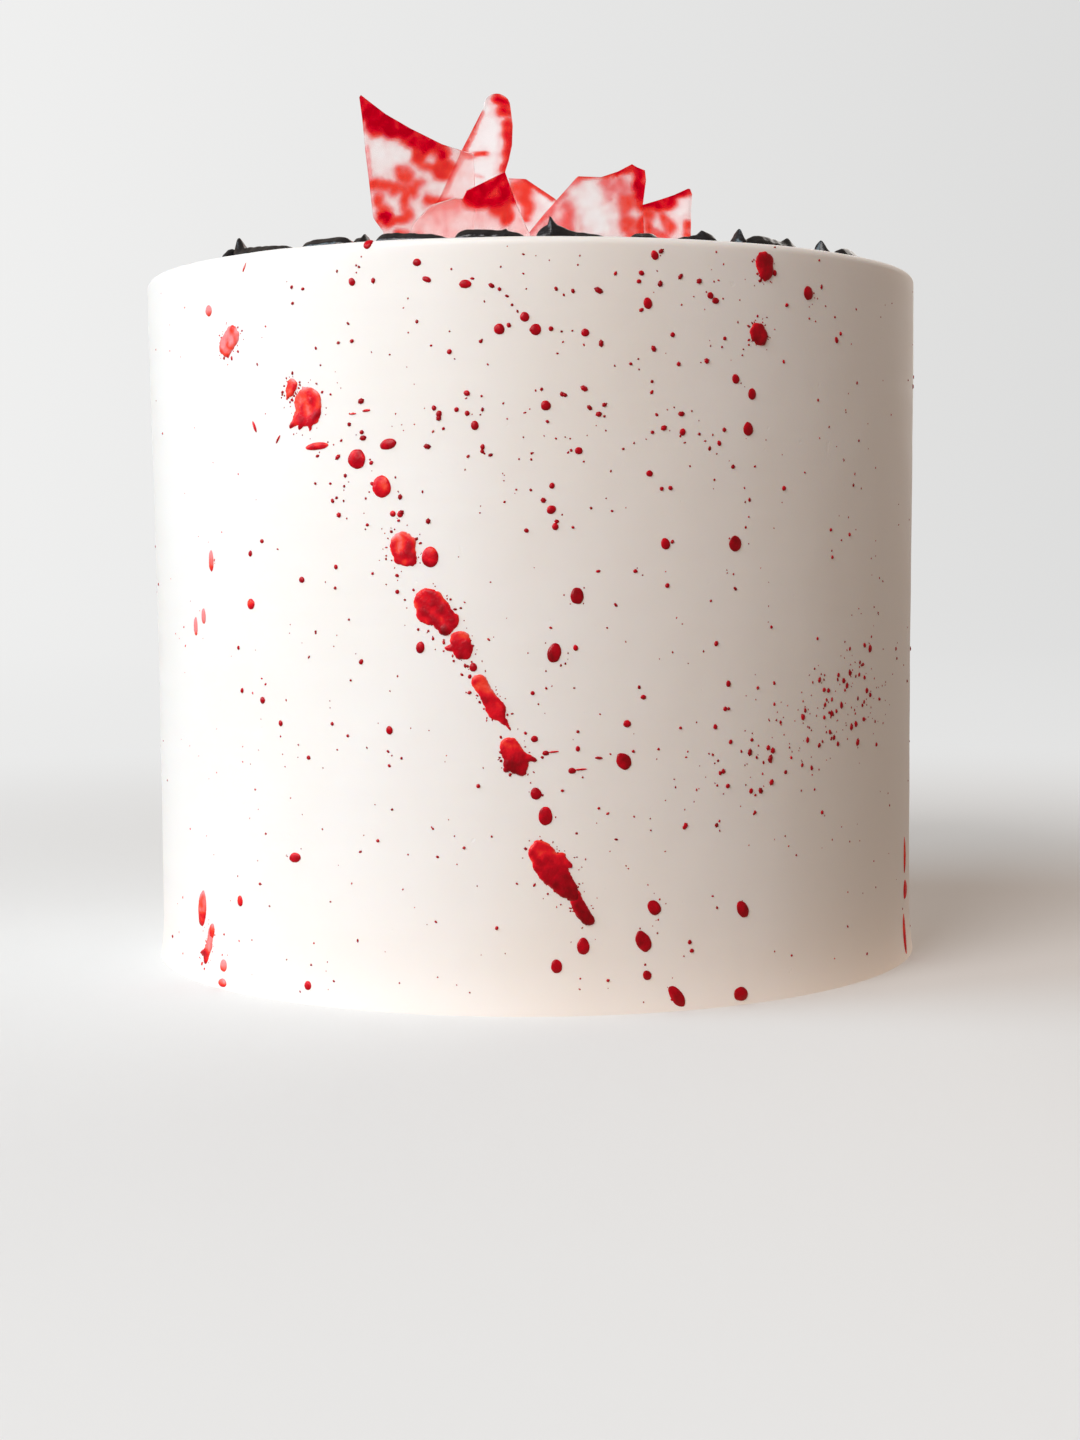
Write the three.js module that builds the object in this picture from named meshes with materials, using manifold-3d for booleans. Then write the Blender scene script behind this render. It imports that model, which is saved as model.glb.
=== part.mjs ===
// A tall round layer cake, closed in smooth off-white buttercream. Red gel is
// spattered over it, short strokes of black buttercream are piped in a broken
// ring just inside the top edge, and six shards of clear sugar glass, stained
// red, stand in slots in the middle of the top.
//
// Millimetres, +Z up. The origin is the middle of the flat underside, and a
// bearing is measured from the front, -Y, round towards +X.

import * as THREE from 'three';
import { mergeVertices } from 'three/addons/utils/BufferGeometryUtils.js';
import Module from 'manifold-3d';

const DEGREE = Math.PI / 180;

// The iced body. The height is exact in 32 bits, so that the strokes rest on it.
const CAKE_RADIUS = 78.5;
const CAKE_HEIGHT = 137.75;
const EDGE_ROUND = 1.5;
const TOP_SWELL = 0.8;
const TOP_SWELL_REACH = 80;
const FOOT_SWELL = 0.7;
const FOOT_SWELL_REACH = 9;
const ICING_WAVE = 0.12;
const CAKE_SEGMENTS = 80;
const RING_HEIGHTS = [0, 2.5, 9, 26, 54, 82, 104, 120];
const EDGE_STEPS = 3;

// The red gel drops. Each pair is a length, and the facets of what is longer.
const DROP_ROOT = 0.9;
const DROP_RISE = 0.3;
const DROP_RISE_WITH_SIZE = 0.08;
const DROP_SAG = 0.18;
const DROP_FACETS = [[6, 2], [3, 1], [0, 0]];

// The black piping.
const RING_RADIUS = 69;
const STROKE_WIDTH = 4.2;
const STROKE_SIDES = 7;
const STROKE_UNDERCUT = 35 * DEGREE;
const STROKE_STATIONS = [0, 0.04, 0.13, 0.28, 0.46, 0.64, 0.8, 0.92, 0.98, 1];

// The sugar glass.
const SLOT_DEPTH = 7;
const SLOT_GAP = 0.3;
const SLOT_TAPER = 1.5;
const SLOT_ABOVE = 3;
const ROUNDED_TIP_STEPS = 5;

const ICING = new THREE.MeshStandardMaterial({ color: 0xeee9e2, roughness: 0.55, metalness: 0 });
const BLACK_ICING = new THREE.MeshStandardMaterial({ color: 0x15151a, roughness: 0.35, metalness: 0 });
const SUGAR_GLASS = new THREE.MeshStandardMaterial({ color: 0xe0404a, roughness: 0.08, metalness: 0 });

// Each drop: bearing in degrees, height, width, length, lean in degrees.
// A lean turns the lower end of the drop towards the right.
const DROPS_OF_THE_TRAIL = [
  [-50, 128, 2, 2, 0],
  [-45.5, 122, 4.2, 5.2, -15],
  [-34, 112.5, 3.2, 3.6, -10],
  [-31.5, 109, 6, 7, -12],
  [-29.5, 102, 4.8, 1.4, 4],
  [-24, 99.5, 3.4, 3.6, -20],
  [-19, 102, 3.2, 1.9, -10],
  [-20, 94.5, 3.5, 4, 0],
  [-17, 83.5, 5.1, 6.2, 5],
  [-13.5, 82, 3.1, 3.6, 0],
  [-12.5, 72.5, 6.2, 8.6, 35],
  [-9.5, 66.5, 4, 6, 35],
  [-6, 57, 3.6, 8.6, 28],
  [-3, 46.5, 5.6, 6.8, 10],
  [0, 40, 1.8, 2, 0],
  [1.5, 36, 2.2, 3.4, 10],
  [1.8, 28.5, 6.8, 9.6, 20],
  [5, 19, 1.9, 8, 28],
  [6, 12.5, 2.3, 3, 0],
  [2.5, 9, 2, 2.5, 0],
];

const DROPS_BESIDE_THE_TRAIL = [
  [32, 132.3, 4.4, 4.6, 0],
  [31.5, 121.5, 3.7, 4.2, 10],
  [40, 129.5, 2.6, 2.4, 0],
  [29.5, 104.5, 2, 2.4, 0],
  [27.5, 84, 2.6, 2.8, 0],
  [5.5, 75, 2.1, 2.8, 15],
  [2.5, 65, 2.5, 3.4, 0],
  [11.5, 45.5, 2.6, 2.7, 0],
  [-8.5, 129.5, 2.2, 1.5, 0],
  [28.5, 17.5, 2.8, 2.8, 0],
  [15.5, 19, 2.3, 2.2, 0],
  [14, 13, 2.6, 3.6, -10],
  [18.5, 3.6, 2.8, 4.4, -20],
  [28, 2.8, 2.8, 2.6, 0],
  [-51, 81.5, 1.6, 4, 0],
  [-53.5, 71, 1.5, 3, 0],
  [-56, 69, 1.5, 3.6, 0],
  [-42, 73.5, 2, 2, 30],
  [-55.5, 14.5, 3.2, 7.2, -8],
  [-54, 7.5, 4.2, 7.6, -12],
  [-49.5, 4.5, 2.2, 2.4, -12],
  [-34.5, 27, 2.7, 1.8, 10],
  [71, 12, 2.6, 3, 0],
  [70, 3.2, 2.4, 3, 0],
];

// Where the gel was flung across the far side: from one bearing and height to another.
const FAR_TRAILS = [
  { from: [105, 126], to: [158, 24], drops: 11 },
  { from: [-148, 118], to: [-98, 14], drops: 10 },
];
const FAR_DROP_SIZES = [2.2, 5];
const FAR_DROP_STRAY = [5, 6];

// Each stroke: first and last bearing in degrees, height, taper towards its
// last end, and the tips drawn up from it as [place, extra height, reach].
const FRONT_STROKES = [
  [-57.8, -55.4, 3.3, 0, []],
  [-55.1, -38.6, 3.2, 0.5, [[0.07, 2.6, 0.13]]],
  [-38, -27.8, 2.5, -0.1, []],
  [-27.5, -25.1, 2.1, 0, [[0.8, 0.7, 0.22]]],
  [-24.3, -12, 2.9, 0.6, []],
  [-11.7, -0.6, 2.8, 0.3, [[0.7, 0.4, 0.05]]],
  [0.5, 12.2, 2.7, 0.55, [[0.2, 0.9, 0.3], [0.2, 1.4, 0.08]]],
  [14.7, 19.1, 1.9, 0, []],
  [21.6, 29, 2.7, -0.5, [[0.7, 0.7, 0.2]]],
  [32.2, 34.2, 2.3, 0, [[0.5, 1.4, 0.4]]],
  [34.5, 48, 3.4, 0.6, [[0.74, 1.6, 0.12]]],
  [51.5, 58, 2.6, 0.5, [[0.12, 1.9, 0.25]]],
  [59, 69.8, 3.9, 0.3, []],
];
const FAR_STROKES = 15;
const FAR_STROKES_FROM = 71;
const FAR_STROKES_TO = 297;

// Each shard: the place of its foot on the top, its turn and its lean in
// degrees, the ends of its foot, and its outline above the icing from the right
// end of the foot round to the left one.
const SHARDS = [
  {
    place: [-22, -5], turn: 16, lean: -5, thickness: 2.2, foot: [-6, 9],
    outline: [[11, 17], [11, 27.5], [8.6, 28.1], [4.2, 29.3], [-2.3, 32.2], [-7.5, 35], [-12.6, 38.7],
      [-12.1, 34.2], [-11.7, 27.6], [-11.1, 21.5], [-10.5, 13.9], [-8.5, 11.1]],
  },
  {
    place: [-14, 14], turn: -18, lean: 4, thickness: 1.8, foot: [-10, 8],
    outline: [[9, 16], [9.2, 25.3], [10.2, 28], [11, 31], [11.3, 35.1], [8.1, 38.9, 2.8],
      [-0.1, 30.2], [-5.5, 20.5], [-11.4, 15.5], [-12, 8]],
  },
  {
    place: [-12, -17], turn: 10, lean: -7, thickness: 2.4, foot: [-12, 11.5],
    outline: [[12, 8.6], [9.3, 15.1], [7.1, 21.6], [-0.8, 17.6], [-1.7, 15.9], [-3.3, 16.1],
      [-8, 14.6], [-11.3, 11.3], [-12.8, 8.6]],
  },
  {
    place: [3, 3], turn: -24, lean: 5, thickness: 1.8, foot: [-6, 5.5],
    outline: [[7, 9], [6, 15], [2.4, 18.6], [-3.8, 22.9], [-7.3, 23.3], [-8, 12]],
  },
  {
    place: [12, -5], turn: 14, lean: -3, thickness: 2.2, foot: [-12, 10.5],
    outline: [[11.6, 10.5], [11.5, 16.7], [12.3, 21.7], [12.1, 23.7], [10.4, 24.3], [9.3, 24.9],
      [6.3, 23.3], [2.6, 22], [-2.3, 22], [-9.3, 14.4], [-12.6, 10.5]],
  },
  {
    place: [28, 3], turn: -22, lean: 4, thickness: 2, foot: [-4.2, 4.5],
    outline: [[5.7, 10.1], [5.9, 15.8], [6.2, 19], [5.8, 20.1], [2.7, 19], [-0.6, 18.2], [-4.9, 17.3]],
  },
];

const wasm = await Module();
wasm.setup();

// Geometry with one vertex for each corner, as the solids need.
function joined(geometry) {
  geometry.deleteAttribute('normal');
  geometry.deleteAttribute('uv');
  return mergeVertices(geometry, 1e-4);
}

function solidOf(geometry) {
  const merged = joined(geometry);
  return new wasm.Manifold(new wasm.Mesh({
    numProp: 3,
    vertProperties: Float32Array.from(merged.attributes.position.array),
    triVerts: Uint32Array.from(merged.index.array),
  }));
}

function geometryOf(solid) {
  const mesh = solid.getMesh();
  const geometry = new THREE.BufferGeometry();
  geometry.setAttribute('position', new THREE.BufferAttribute(mesh.vertProperties, 3));
  geometry.setIndex(new THREE.BufferAttribute(mesh.triVerts, 1));
  geometry.computeVertexNormals();
  return geometry;
}

function reshape(geometry, move) {
  const positions = geometry.attributes.position;
  const point = new THREE.Vector3();
  for (let i = 0; i < positions.count; i += 1) {
    point.fromBufferAttribute(positions, i);
    move(point, i);
    positions.setXYZ(i, point.x, point.y, point.z);
  }
  return geometry;
}

// Numbers from 0 to 1 that never bunch up, for what varies without a pattern.
function scattered(index, step) {
  return (index * step) % 1;
}

function between([low, high], share) {
  return low + (high - low) * share;
}

// How far the smooth icing stands from the middle. It is fuller towards the top
// on the left side, and at the foot, and waves a little where the scraper wandered.
function icedRadius(bearing, height) {
  const left = (1 - Math.sin(bearing)) / 2;
  const top = left * THREE.MathUtils.smoothstep(height, CAKE_HEIGHT - TOP_SWELL_REACH, CAKE_HEIGHT);
  const foot = Math.max(0, 1 - height / FOOT_SWELL_REACH) ** 2;
  const wave = Math.sin(3 * bearing + height / 40) + 0.6 * Math.sin(5 * bearing - height / 23);
  return CAKE_RADIUS + TOP_SWELL * top + FOOT_SWELL * foot + ICING_WAVE * wave;
}

function onIcing(bearing, height, outward) {
  const radius = icedRadius(bearing, height) + outward;
  return [radius * Math.sin(bearing), -radius * Math.cos(bearing), height];
}

function icedBody() {
  const profile = [new THREE.Vector2(0, 0)];
  for (const height of RING_HEIGHTS) {
    profile.push(new THREE.Vector2(CAKE_RADIUS, height));
  }
  for (let step = 0; step <= EDGE_STEPS; step += 1) {
    const angle = (step / EDGE_STEPS) * 90 * DEGREE;
    profile.push(new THREE.Vector2(
      CAKE_RADIUS - EDGE_ROUND * (1 - Math.cos(angle)),
      CAKE_HEIGHT - EDGE_ROUND * (1 - Math.sin(angle)),
    ));
  }
  profile.push(new THREE.Vector2(0, CAKE_HEIGHT));
  const geometry = new THREE.LatheGeometry(profile, CAKE_SEGMENTS);
  geometry.rotateX(90 * DEGREE);
  return reshape(geometry, (point) => {
    const flat = Math.hypot(point.x, point.y);
    if (flat > 1) {
      const bearing = Math.atan2(point.x, -point.y);
      const stretch = icedRadius(bearing, point.z) / CAKE_RADIUS;
      point.x *= stretch;
      point.y *= stretch;
    }
  });
}

// A drop of gel: a low dome on the side of the cake, fuller towards its lower
// end, with its root in the icing. A large one is thicker and has more facets.
function gelDrop([bearingDegrees, height, width, length, leanDegrees]) {
  const [, detail] = DROP_FACETS.find(([least]) => Math.max(width, length) > least);
  const dome = new THREE.IcosahedronGeometry(1, detail);
  const rise = DROP_RISE + DROP_RISE_WITH_SIZE * Math.min(width, length);
  const lean = leanDegrees * DEGREE;
  return reshape(dome, (point) => {
    const fuller = 1 - DROP_SAG * point.z;
    const across = point.x * fuller * width / 2;
    const along = point.z * length / 2;
    const right = across * Math.cos(lean) - along * Math.sin(lean);
    const up = across * Math.sin(lean) + along * Math.cos(lean);
    const outward = point.y < 0 ? -point.y * rise * fuller : -point.y * DROP_ROOT;
    const bearing = bearingDegrees * DEGREE + right / CAKE_RADIUS;
    point.set(...onIcing(bearing, height + up, outward));
  });
}

// The drops flung over the far side, larger towards the middle of a trail.
function dropsAlong({ from, to, drops }) {
  const rows = [];
  for (let i = 0; i < drops; i += 1) {
    const share = (i + 0.5) / drops;
    const size = between(FAR_DROP_SIZES, Math.sin(share * Math.PI) * scattered(i + 1, 0.618));
    const stray = FAR_DROP_STRAY.map((reach, k) => reach * (scattered(i + 1, 0.755 + 0.1 * k) - 0.5));
    rows.push([
      between([from[0], to[0]], share) + stray[0],
      between([from[1], to[1]], share) + stray[1],
      size,
      size * (1 + 0.5 * scattered(i + 1, 0.57)),
      30 * (scattered(i + 1, 0.41) - 0.5),
    ]);
  }
  return rows;
}

// A corner of an outline, or a half-round tip where it has a radius too.
function cornerOrTip([x, y, radius]) {
  if (radius === undefined) {
    return [[x, y]];
  }
  const tip = [];
  for (let step = 0; step <= ROUNDED_TIP_STEPS; step += 1) {
    const angle = (step / ROUNDED_TIP_STEPS) * 180 * DEGREE;
    tip.push([x + radius * Math.cos(angle), y + radius * Math.sin(angle)]);
  }
  return tip;
}

function shardShape({ foot, outline }) {
  const points = [[foot[1], 0], ...outline.flatMap(cornerOrTip), [foot[0], 0],
    [foot[0] + SLOT_TAPER, -SLOT_DEPTH], [foot[1] - SLOT_TAPER, -SLOT_DEPTH]];
  return new THREE.Shape(points.map(([x, y]) => new THREE.Vector2(x, y)));
}

// The slot that a shard stands in, open above the icing.
function slotShape([left, right]) {
  return new THREE.Shape([
    new THREE.Vector2(right + SLOT_GAP, SLOT_ABOVE),
    new THREE.Vector2(left - SLOT_GAP, SLOT_ABOVE),
    new THREE.Vector2(left - SLOT_GAP, 0),
    new THREE.Vector2(left + SLOT_TAPER - SLOT_GAP, -SLOT_DEPTH - SLOT_GAP),
    new THREE.Vector2(right - SLOT_TAPER + SLOT_GAP, -SLOT_DEPTH - SLOT_GAP),
    new THREE.Vector2(right + SLOT_GAP, 0),
  ]);
}

// A flat plate standing on edge, its middle plane through the group's own XZ plane.
function uprightPlate(shape, thickness) {
  const plate = new THREE.ExtrudeGeometry(shape, { depth: thickness, bevelEnabled: false });
  plate.translate(0, 0, -thickness / 2);
  plate.rotateX(90 * DEGREE);
  return plate;
}

function sugarShard(shard, index) {
  const mesh = new THREE.Mesh(uprightPlate(shardShape(shard), shard.thickness), SUGAR_GLASS);
  mesh.name = `sugar_shard_${index + 1}`;
  mesh.rotation.x = shard.lean * DEGREE;
  const stand = new THREE.Group();
  stand.position.set(shard.place[0], shard.place[1], CAKE_HEIGHT);
  stand.rotation.z = shard.turn * DEGREE;
  stand.add(mesh);
  stand.updateMatrixWorld(true);
  return stand;
}

function icedCake(stands) {
  let solid = solidOf(icedBody());
  const rows = [...DROPS_OF_THE_TRAIL, ...DROPS_BESIDE_THE_TRAIL, ...FAR_TRAILS.flatMap(dropsAlong)];
  for (const row of rows) {
    solid = solid.add(solidOf(gelDrop(row)));
  }
  SHARDS.forEach((shard, index) => {
    const slot = uprightPlate(slotShape(shard.foot), shard.thickness + 2 * SLOT_GAP);
    slot.applyMatrix4(stands[index].children[0].matrixWorld);
    solid = solid.subtract(solidOf(slot));
  });
  const mesh = new THREE.Mesh(geometryOf(solid), ICING);
  mesh.name = 'iced_cake';
  return mesh;
}

// The places along a stroke where it is cut, closer together round its tips.
function stationsWith(tips) {
  const stations = [...STROKE_STATIONS];
  for (const [place, , reach] of tips) {
    stations.push(place, place - reach / 2, place + reach / 2);
  }
  const inside = stations.filter((place) => place >= 0 && place <= 1).sort((a, b) => a - b);
  return inside.filter((place, i) => i === 0 || place - inside[i - 1] > 0.015);
}

// One piped stroke: a rounded bead on a flat foot, bent along the ring, rounded
// at both ends and tapered, with pointed tips where the nozzle was pulled away.
function pipedStroke([from, to, height, taper, tips], index) {
  const stations = stationsWith(tips);
  const rows = stations.length - 1;
  const bead = new THREE.SphereGeometry(1, STROKE_SIDES, rows);
  const uv = bead.attributes.uv.clone();
  const spread = (180 * DEGREE + 2 * STROKE_UNDERCUT) / (STROKE_SIDES - 1);
  const foot = Math.sin(STROKE_UNDERCUT);
  const halfArc = ((to - from) / 2) * DEGREE;
  reshape(bead, (point, i) => {
    const place = stations[Math.round((1 - uv.getY(i)) * rows)];
    const column = Math.round(uv.getX(i) * STROKE_SIDES) % STROKE_SIDES;
    const angle = column * spread - STROKE_UNDERCUT;
    const end = Math.sqrt(Math.max(0, 1 - Math.abs(2 * place - 1) ** 5));
    const size = end * (1 - (taper > 0 ? taper * place : -taper * (1 - place)));
    let up = (height * size * (Math.sin(angle) + foot)) / (1 + foot);
    for (const [tip, extra, reach] of tips) {
      const near = Math.max(0, 1 - Math.abs(place - tip) / reach);
      up += extra * near ** 1.5 * Math.max(0, Math.sin(angle)) ** 2 * Math.min(1, end * 2);
    }
    const across = RING_RADIUS + (STROKE_WIDTH / 2) * size * Math.cos(angle);
    const turn = (2 * place - 1) * halfArc;
    point.set(across * Math.sin(turn), -across * Math.cos(turn), up);
  });
  const mesh = new THREE.Mesh(joined(bead), BLACK_ICING);
  mesh.name = `piped_stroke_${String(index + 1).padStart(2, '0')}`;
  mesh.position.z = CAKE_HEIGHT;
  mesh.rotation.z = ((from + to) / 2) * DEGREE;
  return mesh;
}

// The strokes of the far part of the ring, of uneven length and height.
function farStrokes() {
  const pitch = (FAR_STROKES_TO - FAR_STROKES_FROM) / FAR_STROKES;
  const rows = [];
  for (let i = 0; i < FAR_STROKES; i += 1) {
    const from = FAR_STROKES_FROM + pitch * i + 2 * scattered(i + 1, 0.381);
    const to = from + pitch * (0.62 + 0.22 * scattered(i + 1, 0.618));
    const tipped = scattered(i + 1, 0.618) > 0.4;
    const tips = tipped ? [[0.12 + 0.6 * scattered(i + 1, 0.73), 0.8 + scattered(i + 1, 0.27), 0.14]] : [];
    rows.push([from, to, 2.3 + 0.9 * scattered(i + 1, 0.55), 0.6 * scattered(i + 1, 0.29), tips]);
  }
  return rows;
}

const cake = new THREE.Group();
const stands = SHARDS.map(sugarShard);
cake.add(icedCake(stands), ...stands);
[...FRONT_STROKES, ...farStrokes()].forEach((row, index) => cake.add(pipedStroke(row, index)));

export default cake;
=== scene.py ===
"""The looks of a tall round layer cake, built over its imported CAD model.

Shapes are worked out in millimetres, and a piece is scaled to metres as it is finished. A bearing is measured
from the front of the cake, -Y, round towards +X. A place on the icing is a bearing and a distance along the
skin: up the side, round the top edge and in over the top.
"""

import math
import random

import bmesh
import bpy
from bpy.props import FloatProperty, FloatVectorProperty, IntProperty, PointerProperty
from mathutils import Euler, Matrix, Vector, noise


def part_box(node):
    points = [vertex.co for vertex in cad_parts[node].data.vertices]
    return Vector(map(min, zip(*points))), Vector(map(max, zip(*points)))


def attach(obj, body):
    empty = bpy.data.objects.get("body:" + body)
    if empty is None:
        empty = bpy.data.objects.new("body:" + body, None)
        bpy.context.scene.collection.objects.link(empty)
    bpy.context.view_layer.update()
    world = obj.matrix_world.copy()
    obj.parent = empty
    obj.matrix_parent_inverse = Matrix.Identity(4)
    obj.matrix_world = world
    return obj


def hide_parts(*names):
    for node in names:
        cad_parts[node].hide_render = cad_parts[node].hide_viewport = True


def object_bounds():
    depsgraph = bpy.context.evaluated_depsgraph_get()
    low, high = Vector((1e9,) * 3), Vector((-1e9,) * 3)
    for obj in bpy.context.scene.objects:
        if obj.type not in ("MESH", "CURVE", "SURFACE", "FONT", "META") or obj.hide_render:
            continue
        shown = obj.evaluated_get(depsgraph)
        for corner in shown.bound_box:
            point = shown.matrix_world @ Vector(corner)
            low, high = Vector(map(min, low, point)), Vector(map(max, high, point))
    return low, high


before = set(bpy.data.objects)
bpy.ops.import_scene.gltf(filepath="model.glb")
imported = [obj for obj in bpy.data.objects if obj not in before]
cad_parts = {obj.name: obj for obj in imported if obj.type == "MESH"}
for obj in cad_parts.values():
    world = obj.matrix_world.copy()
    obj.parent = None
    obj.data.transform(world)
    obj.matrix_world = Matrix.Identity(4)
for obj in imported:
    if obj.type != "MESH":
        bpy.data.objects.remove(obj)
CAD_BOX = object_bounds()

bl_info = {
    "name": "Layer cake",
    "version": (1, 0, 0),
    "blender": (4, 5, 0),
    "location": "3D View > Sidebar > Layer cake",
    "description": "Builds an iced layer cake with gel spatter, piped strokes and sugar glass",
    "category": "Add Mesh",
}

MM = 0.001
FULL_TURN = 2 * math.pi
NO_LENGTH = 1e-9
TOP_OF_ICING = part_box("piped_stroke_01")[0].z

# How the icing wanders from a true cylinder.
TOP_SWELL = 0.8
TOP_SWELL_REACH = 80
FOOT_SWELL = 0.7
FOOT_SWELL_REACH = 9
ICING_WAVE = 0.12
# The low lumps of the icing: how far apart and how high each kind is.
RELIEF = [(12, 0.07), (4.5, 0.025)]

# How finely the icing is meshed, how near two points are taken as one, the angle in degrees past which an
# edge of the icing or of a shard is sharp, and how near a cut a point counts as on it.
FOOT_ROWS = 5
SIDE_ROWS = 85
EDGE_ROWS = 8
TOP_ROWS = 32
ROUND_THE_CAKE = 440
CLOSE = 0.01
SMOOTH_ANGLE = 40
CUT_TOLERANCE = 1e-5

# Each splat: bearing, height, wash, fall, and the strands of gel that it is made of. A strand tapers from one
# end to the other, and each end is its place right of and above the splat's own, and its radius. A wash is how
# thin and pale the gel is, from 0 to 1, and a fall how much deeper its lower end is.
SPLATS = {
    "flung_high": (-45, 122, 0.56, 0.3, [
        ((0.9, 0.8, 2), (-1, -0.8, 2.1)), ((-0.6, -1.2, 1.4), (-0.4, -2.9, 0.3)),
        ((0.6, 1.6, 1.2), (1, 2.6, 0.5))]),
    "claw_lobe": (-33.6, 112.5, 0.42, 0.4, [
        ((0.3, 0.6, 1.3), (-0.2, -0.5, 1.1)), ((-0.5, -0.6, 0.7), (-1, -1.8, 0.25))]),
    "claw": (-31.2, 109, 0.38, 0.42, [
        ((0.5, 0.7, 3.1), (0.5, -0.8, 2.8)), ((-1.2, -1.4, 1.5), (-4.1, -3.8, 0.2)),
        ((-0.9, -2.4, 1), (-1.7, -4, 0.2)), ((0.8, -2.2, 1), (0.9, -4.4, 0.15)),
        ((0.2, 2.6, 1.1), (-0.7, 4, 0.25))]),
    "round_sunset": (-17, 83.5, 0.36, 0.55, [
        ((-0.2, 0.6, 2.6), (0.1, -0.9, 2.3)), ((0.6, -1.2, 1.6), (1.5, -2.2, 0.9))]),
    "long_bean": (-12.5, 72.5, 0.24, 0.35, [
        ((-1.7, 1.4, 2.8), (1.5, -1.8, 2.2)), ((-2.4, -0.2, 1.9), (-1.6, -1, 1.6)),
        ((1, -2.4, 1.7), (1.2, -3.2, 1.2))]),
    "below_bean": (-9.5, 66.5, 0.2, 0.42, [
        ((-0.3, 0.7, 1.9), (0.2, -0.9, 1.9)), ((-0.8, -0.4, 1.2), (-2.9, -0.6, 0.3))]),
    "slug": (-6, 57, 0.28, 0.6, [
        ((-1.6, 2.8, 1.5), (-0.5, 0.8, 1.2)), ((-0.2, 0.4, 1.4), (1.4, -2.2, 1.8)),
        ((1.5, -2.4, 1.4), (2.6, -4, 0.7)), ((2.6, -4, 0.6), (4.3, -6.1, 0.15))]),
    "mitten": (-3, 46.5, 0.16, 0.5, [
        ((-0.4, 1.7, 1.9), (0.8, -0.9, 2.2)), ((0.8, -1, 1.8), (1.5, -2.6, 1)),
        ((1.6, 0.2, 1.1), (4, -0.5, 0.4)), ((-0.6, -1, 1.2), (-1.1, -2.2, 0.6))]),
    "big_fall": (1.8, 28.5, 0.14, 0.6, [
        ((-1.7, 0.9, 2.3), (0.3, -2.3, 2.8)), ((0.3, -2.3, 2.6), (3, -5.6, 1.8)),
        ((3, -5.6, 1.8), (4.3, -7.2, 1.1)), ((1.8, -0.6, 1.6), (3.4, -1.4, 0.6))]),
    "big_fall_tail": (5, 19, 0.02, 0.5, [
        ((-0.2, 2.8, 1.1), (0.9, 0.2, 1.4)), ((0.9, 0.2, 1.4), (2.3, -1.8, 1.1))]),
    "under_the_rim": (32, 132.3, 0.08, 0.2, [
        ((0.2, 1.9, 2.1), (0.4, 0.4, 1.7)), ((0.3, 0, 1.2), (0.2, -0.9, 0.6))]),
    "right_oval": (31.5, 121.5, 0.06, 0.22, [((-0.5, 0.2, 1.9), (-0.1, -0.3, 1.8))]),
    "foot_lobes": (-54, 7.5, 0.5, 0.9, [
        ((1.4, 2.9, 1), (0.8, 0.2, 1.1)), ((0.6, 0.2, 1.2), (-0.6, -3, 0.8)),
        ((-0.4, -1.8, 0.8), (-3.1, -1.9, 0.3))]),
}
# How the edge of a splat is found: the ways looked in round it, how far out each look starts and its step.
# Then how uneven the edge is, which of its points throw specks, and how far those stray.
SPLAT_BEARINGS = 90
SPLAT_FAR = 10
SPLAT_STEP = 0.08
SPLAT_UNEVEN = 0.09
SATELLITE_STEP = 5
SATELLITE_STRAY = 0.25

# Each drop: bearing, height, width, length, lean and wash. A lean turns its lower end towards the right.
DROPS = [
    (-49.5, 128, 2, 2.1, 0, 0.75), (-29.5, 102, 4.9, 1.4, 4, 0.3), (-23.5, 99.5, 3.4, 3.6, -20, 0.2),
    (-19, 102, 3.2, 1.9, 14, 0.1), (-20, 94.5, 3.5, 4, 0, 0.3), (-13.5, 82, 3.1, 3.6, 0, 0.2),
    (0, 40, 2, 2.2, 20, 0.05), (1.2, 36, 2.5, 3.4, 0, 0.1), (6, 12.5, 2.3, 3, 0, 0.05),
    (2.5, 9, 2, 2.5, 0, 0.05), (40, 129.5, 2.4, 2.6, 15, 0), (29.5, 104.5, 2.1, 2.5, 0, 0),
    (27.5, 84, 2.6, 2.8, 0, 0), (5.5, 75, 2.3, 3, 0, 0), (2.5, 65, 2.4, 3.5, -14, 0),
    (11.5, 45.5, 2.6, 3.2, 35, 0), (-8.5, 129.5, 2.2, 1.5, 0, 0.1), (28.5, 17.5, 2.3, 3.4, 32, 0),
    (15.5, 19, 2.3, 2.9, 33, 0), (14, 13, 2.7, 4, 28, 0), (18.5, 2.7, 2.3, 4.4, 35, 0),
    (28, 2, 3, 2.6, 0, 0), (-51, 81.5, 1.6, 4, 0, 0.6), (-53.5, 71, 1.5, 3, 0, 0.8),
    (-56, 69, 1.5, 3.6, 0, 0.85), (-42, 73.5, 2, 2, 30, 0.3), (-55.5, 14.5, 3.2, 7.2, -8, 0.48),
    (-52.7, 10.6, 1.9, 3, -12, 0.45), (-49.5, 4.5, 2.2, 2.4, -12, 0.6), (-34.5, 27, 2.7, 1.8, 10, 0.2),
    (72, 14, 3, 4, 0, 0.3), (71, 5, 2, 8.4, 0, 0.3),
]

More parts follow.
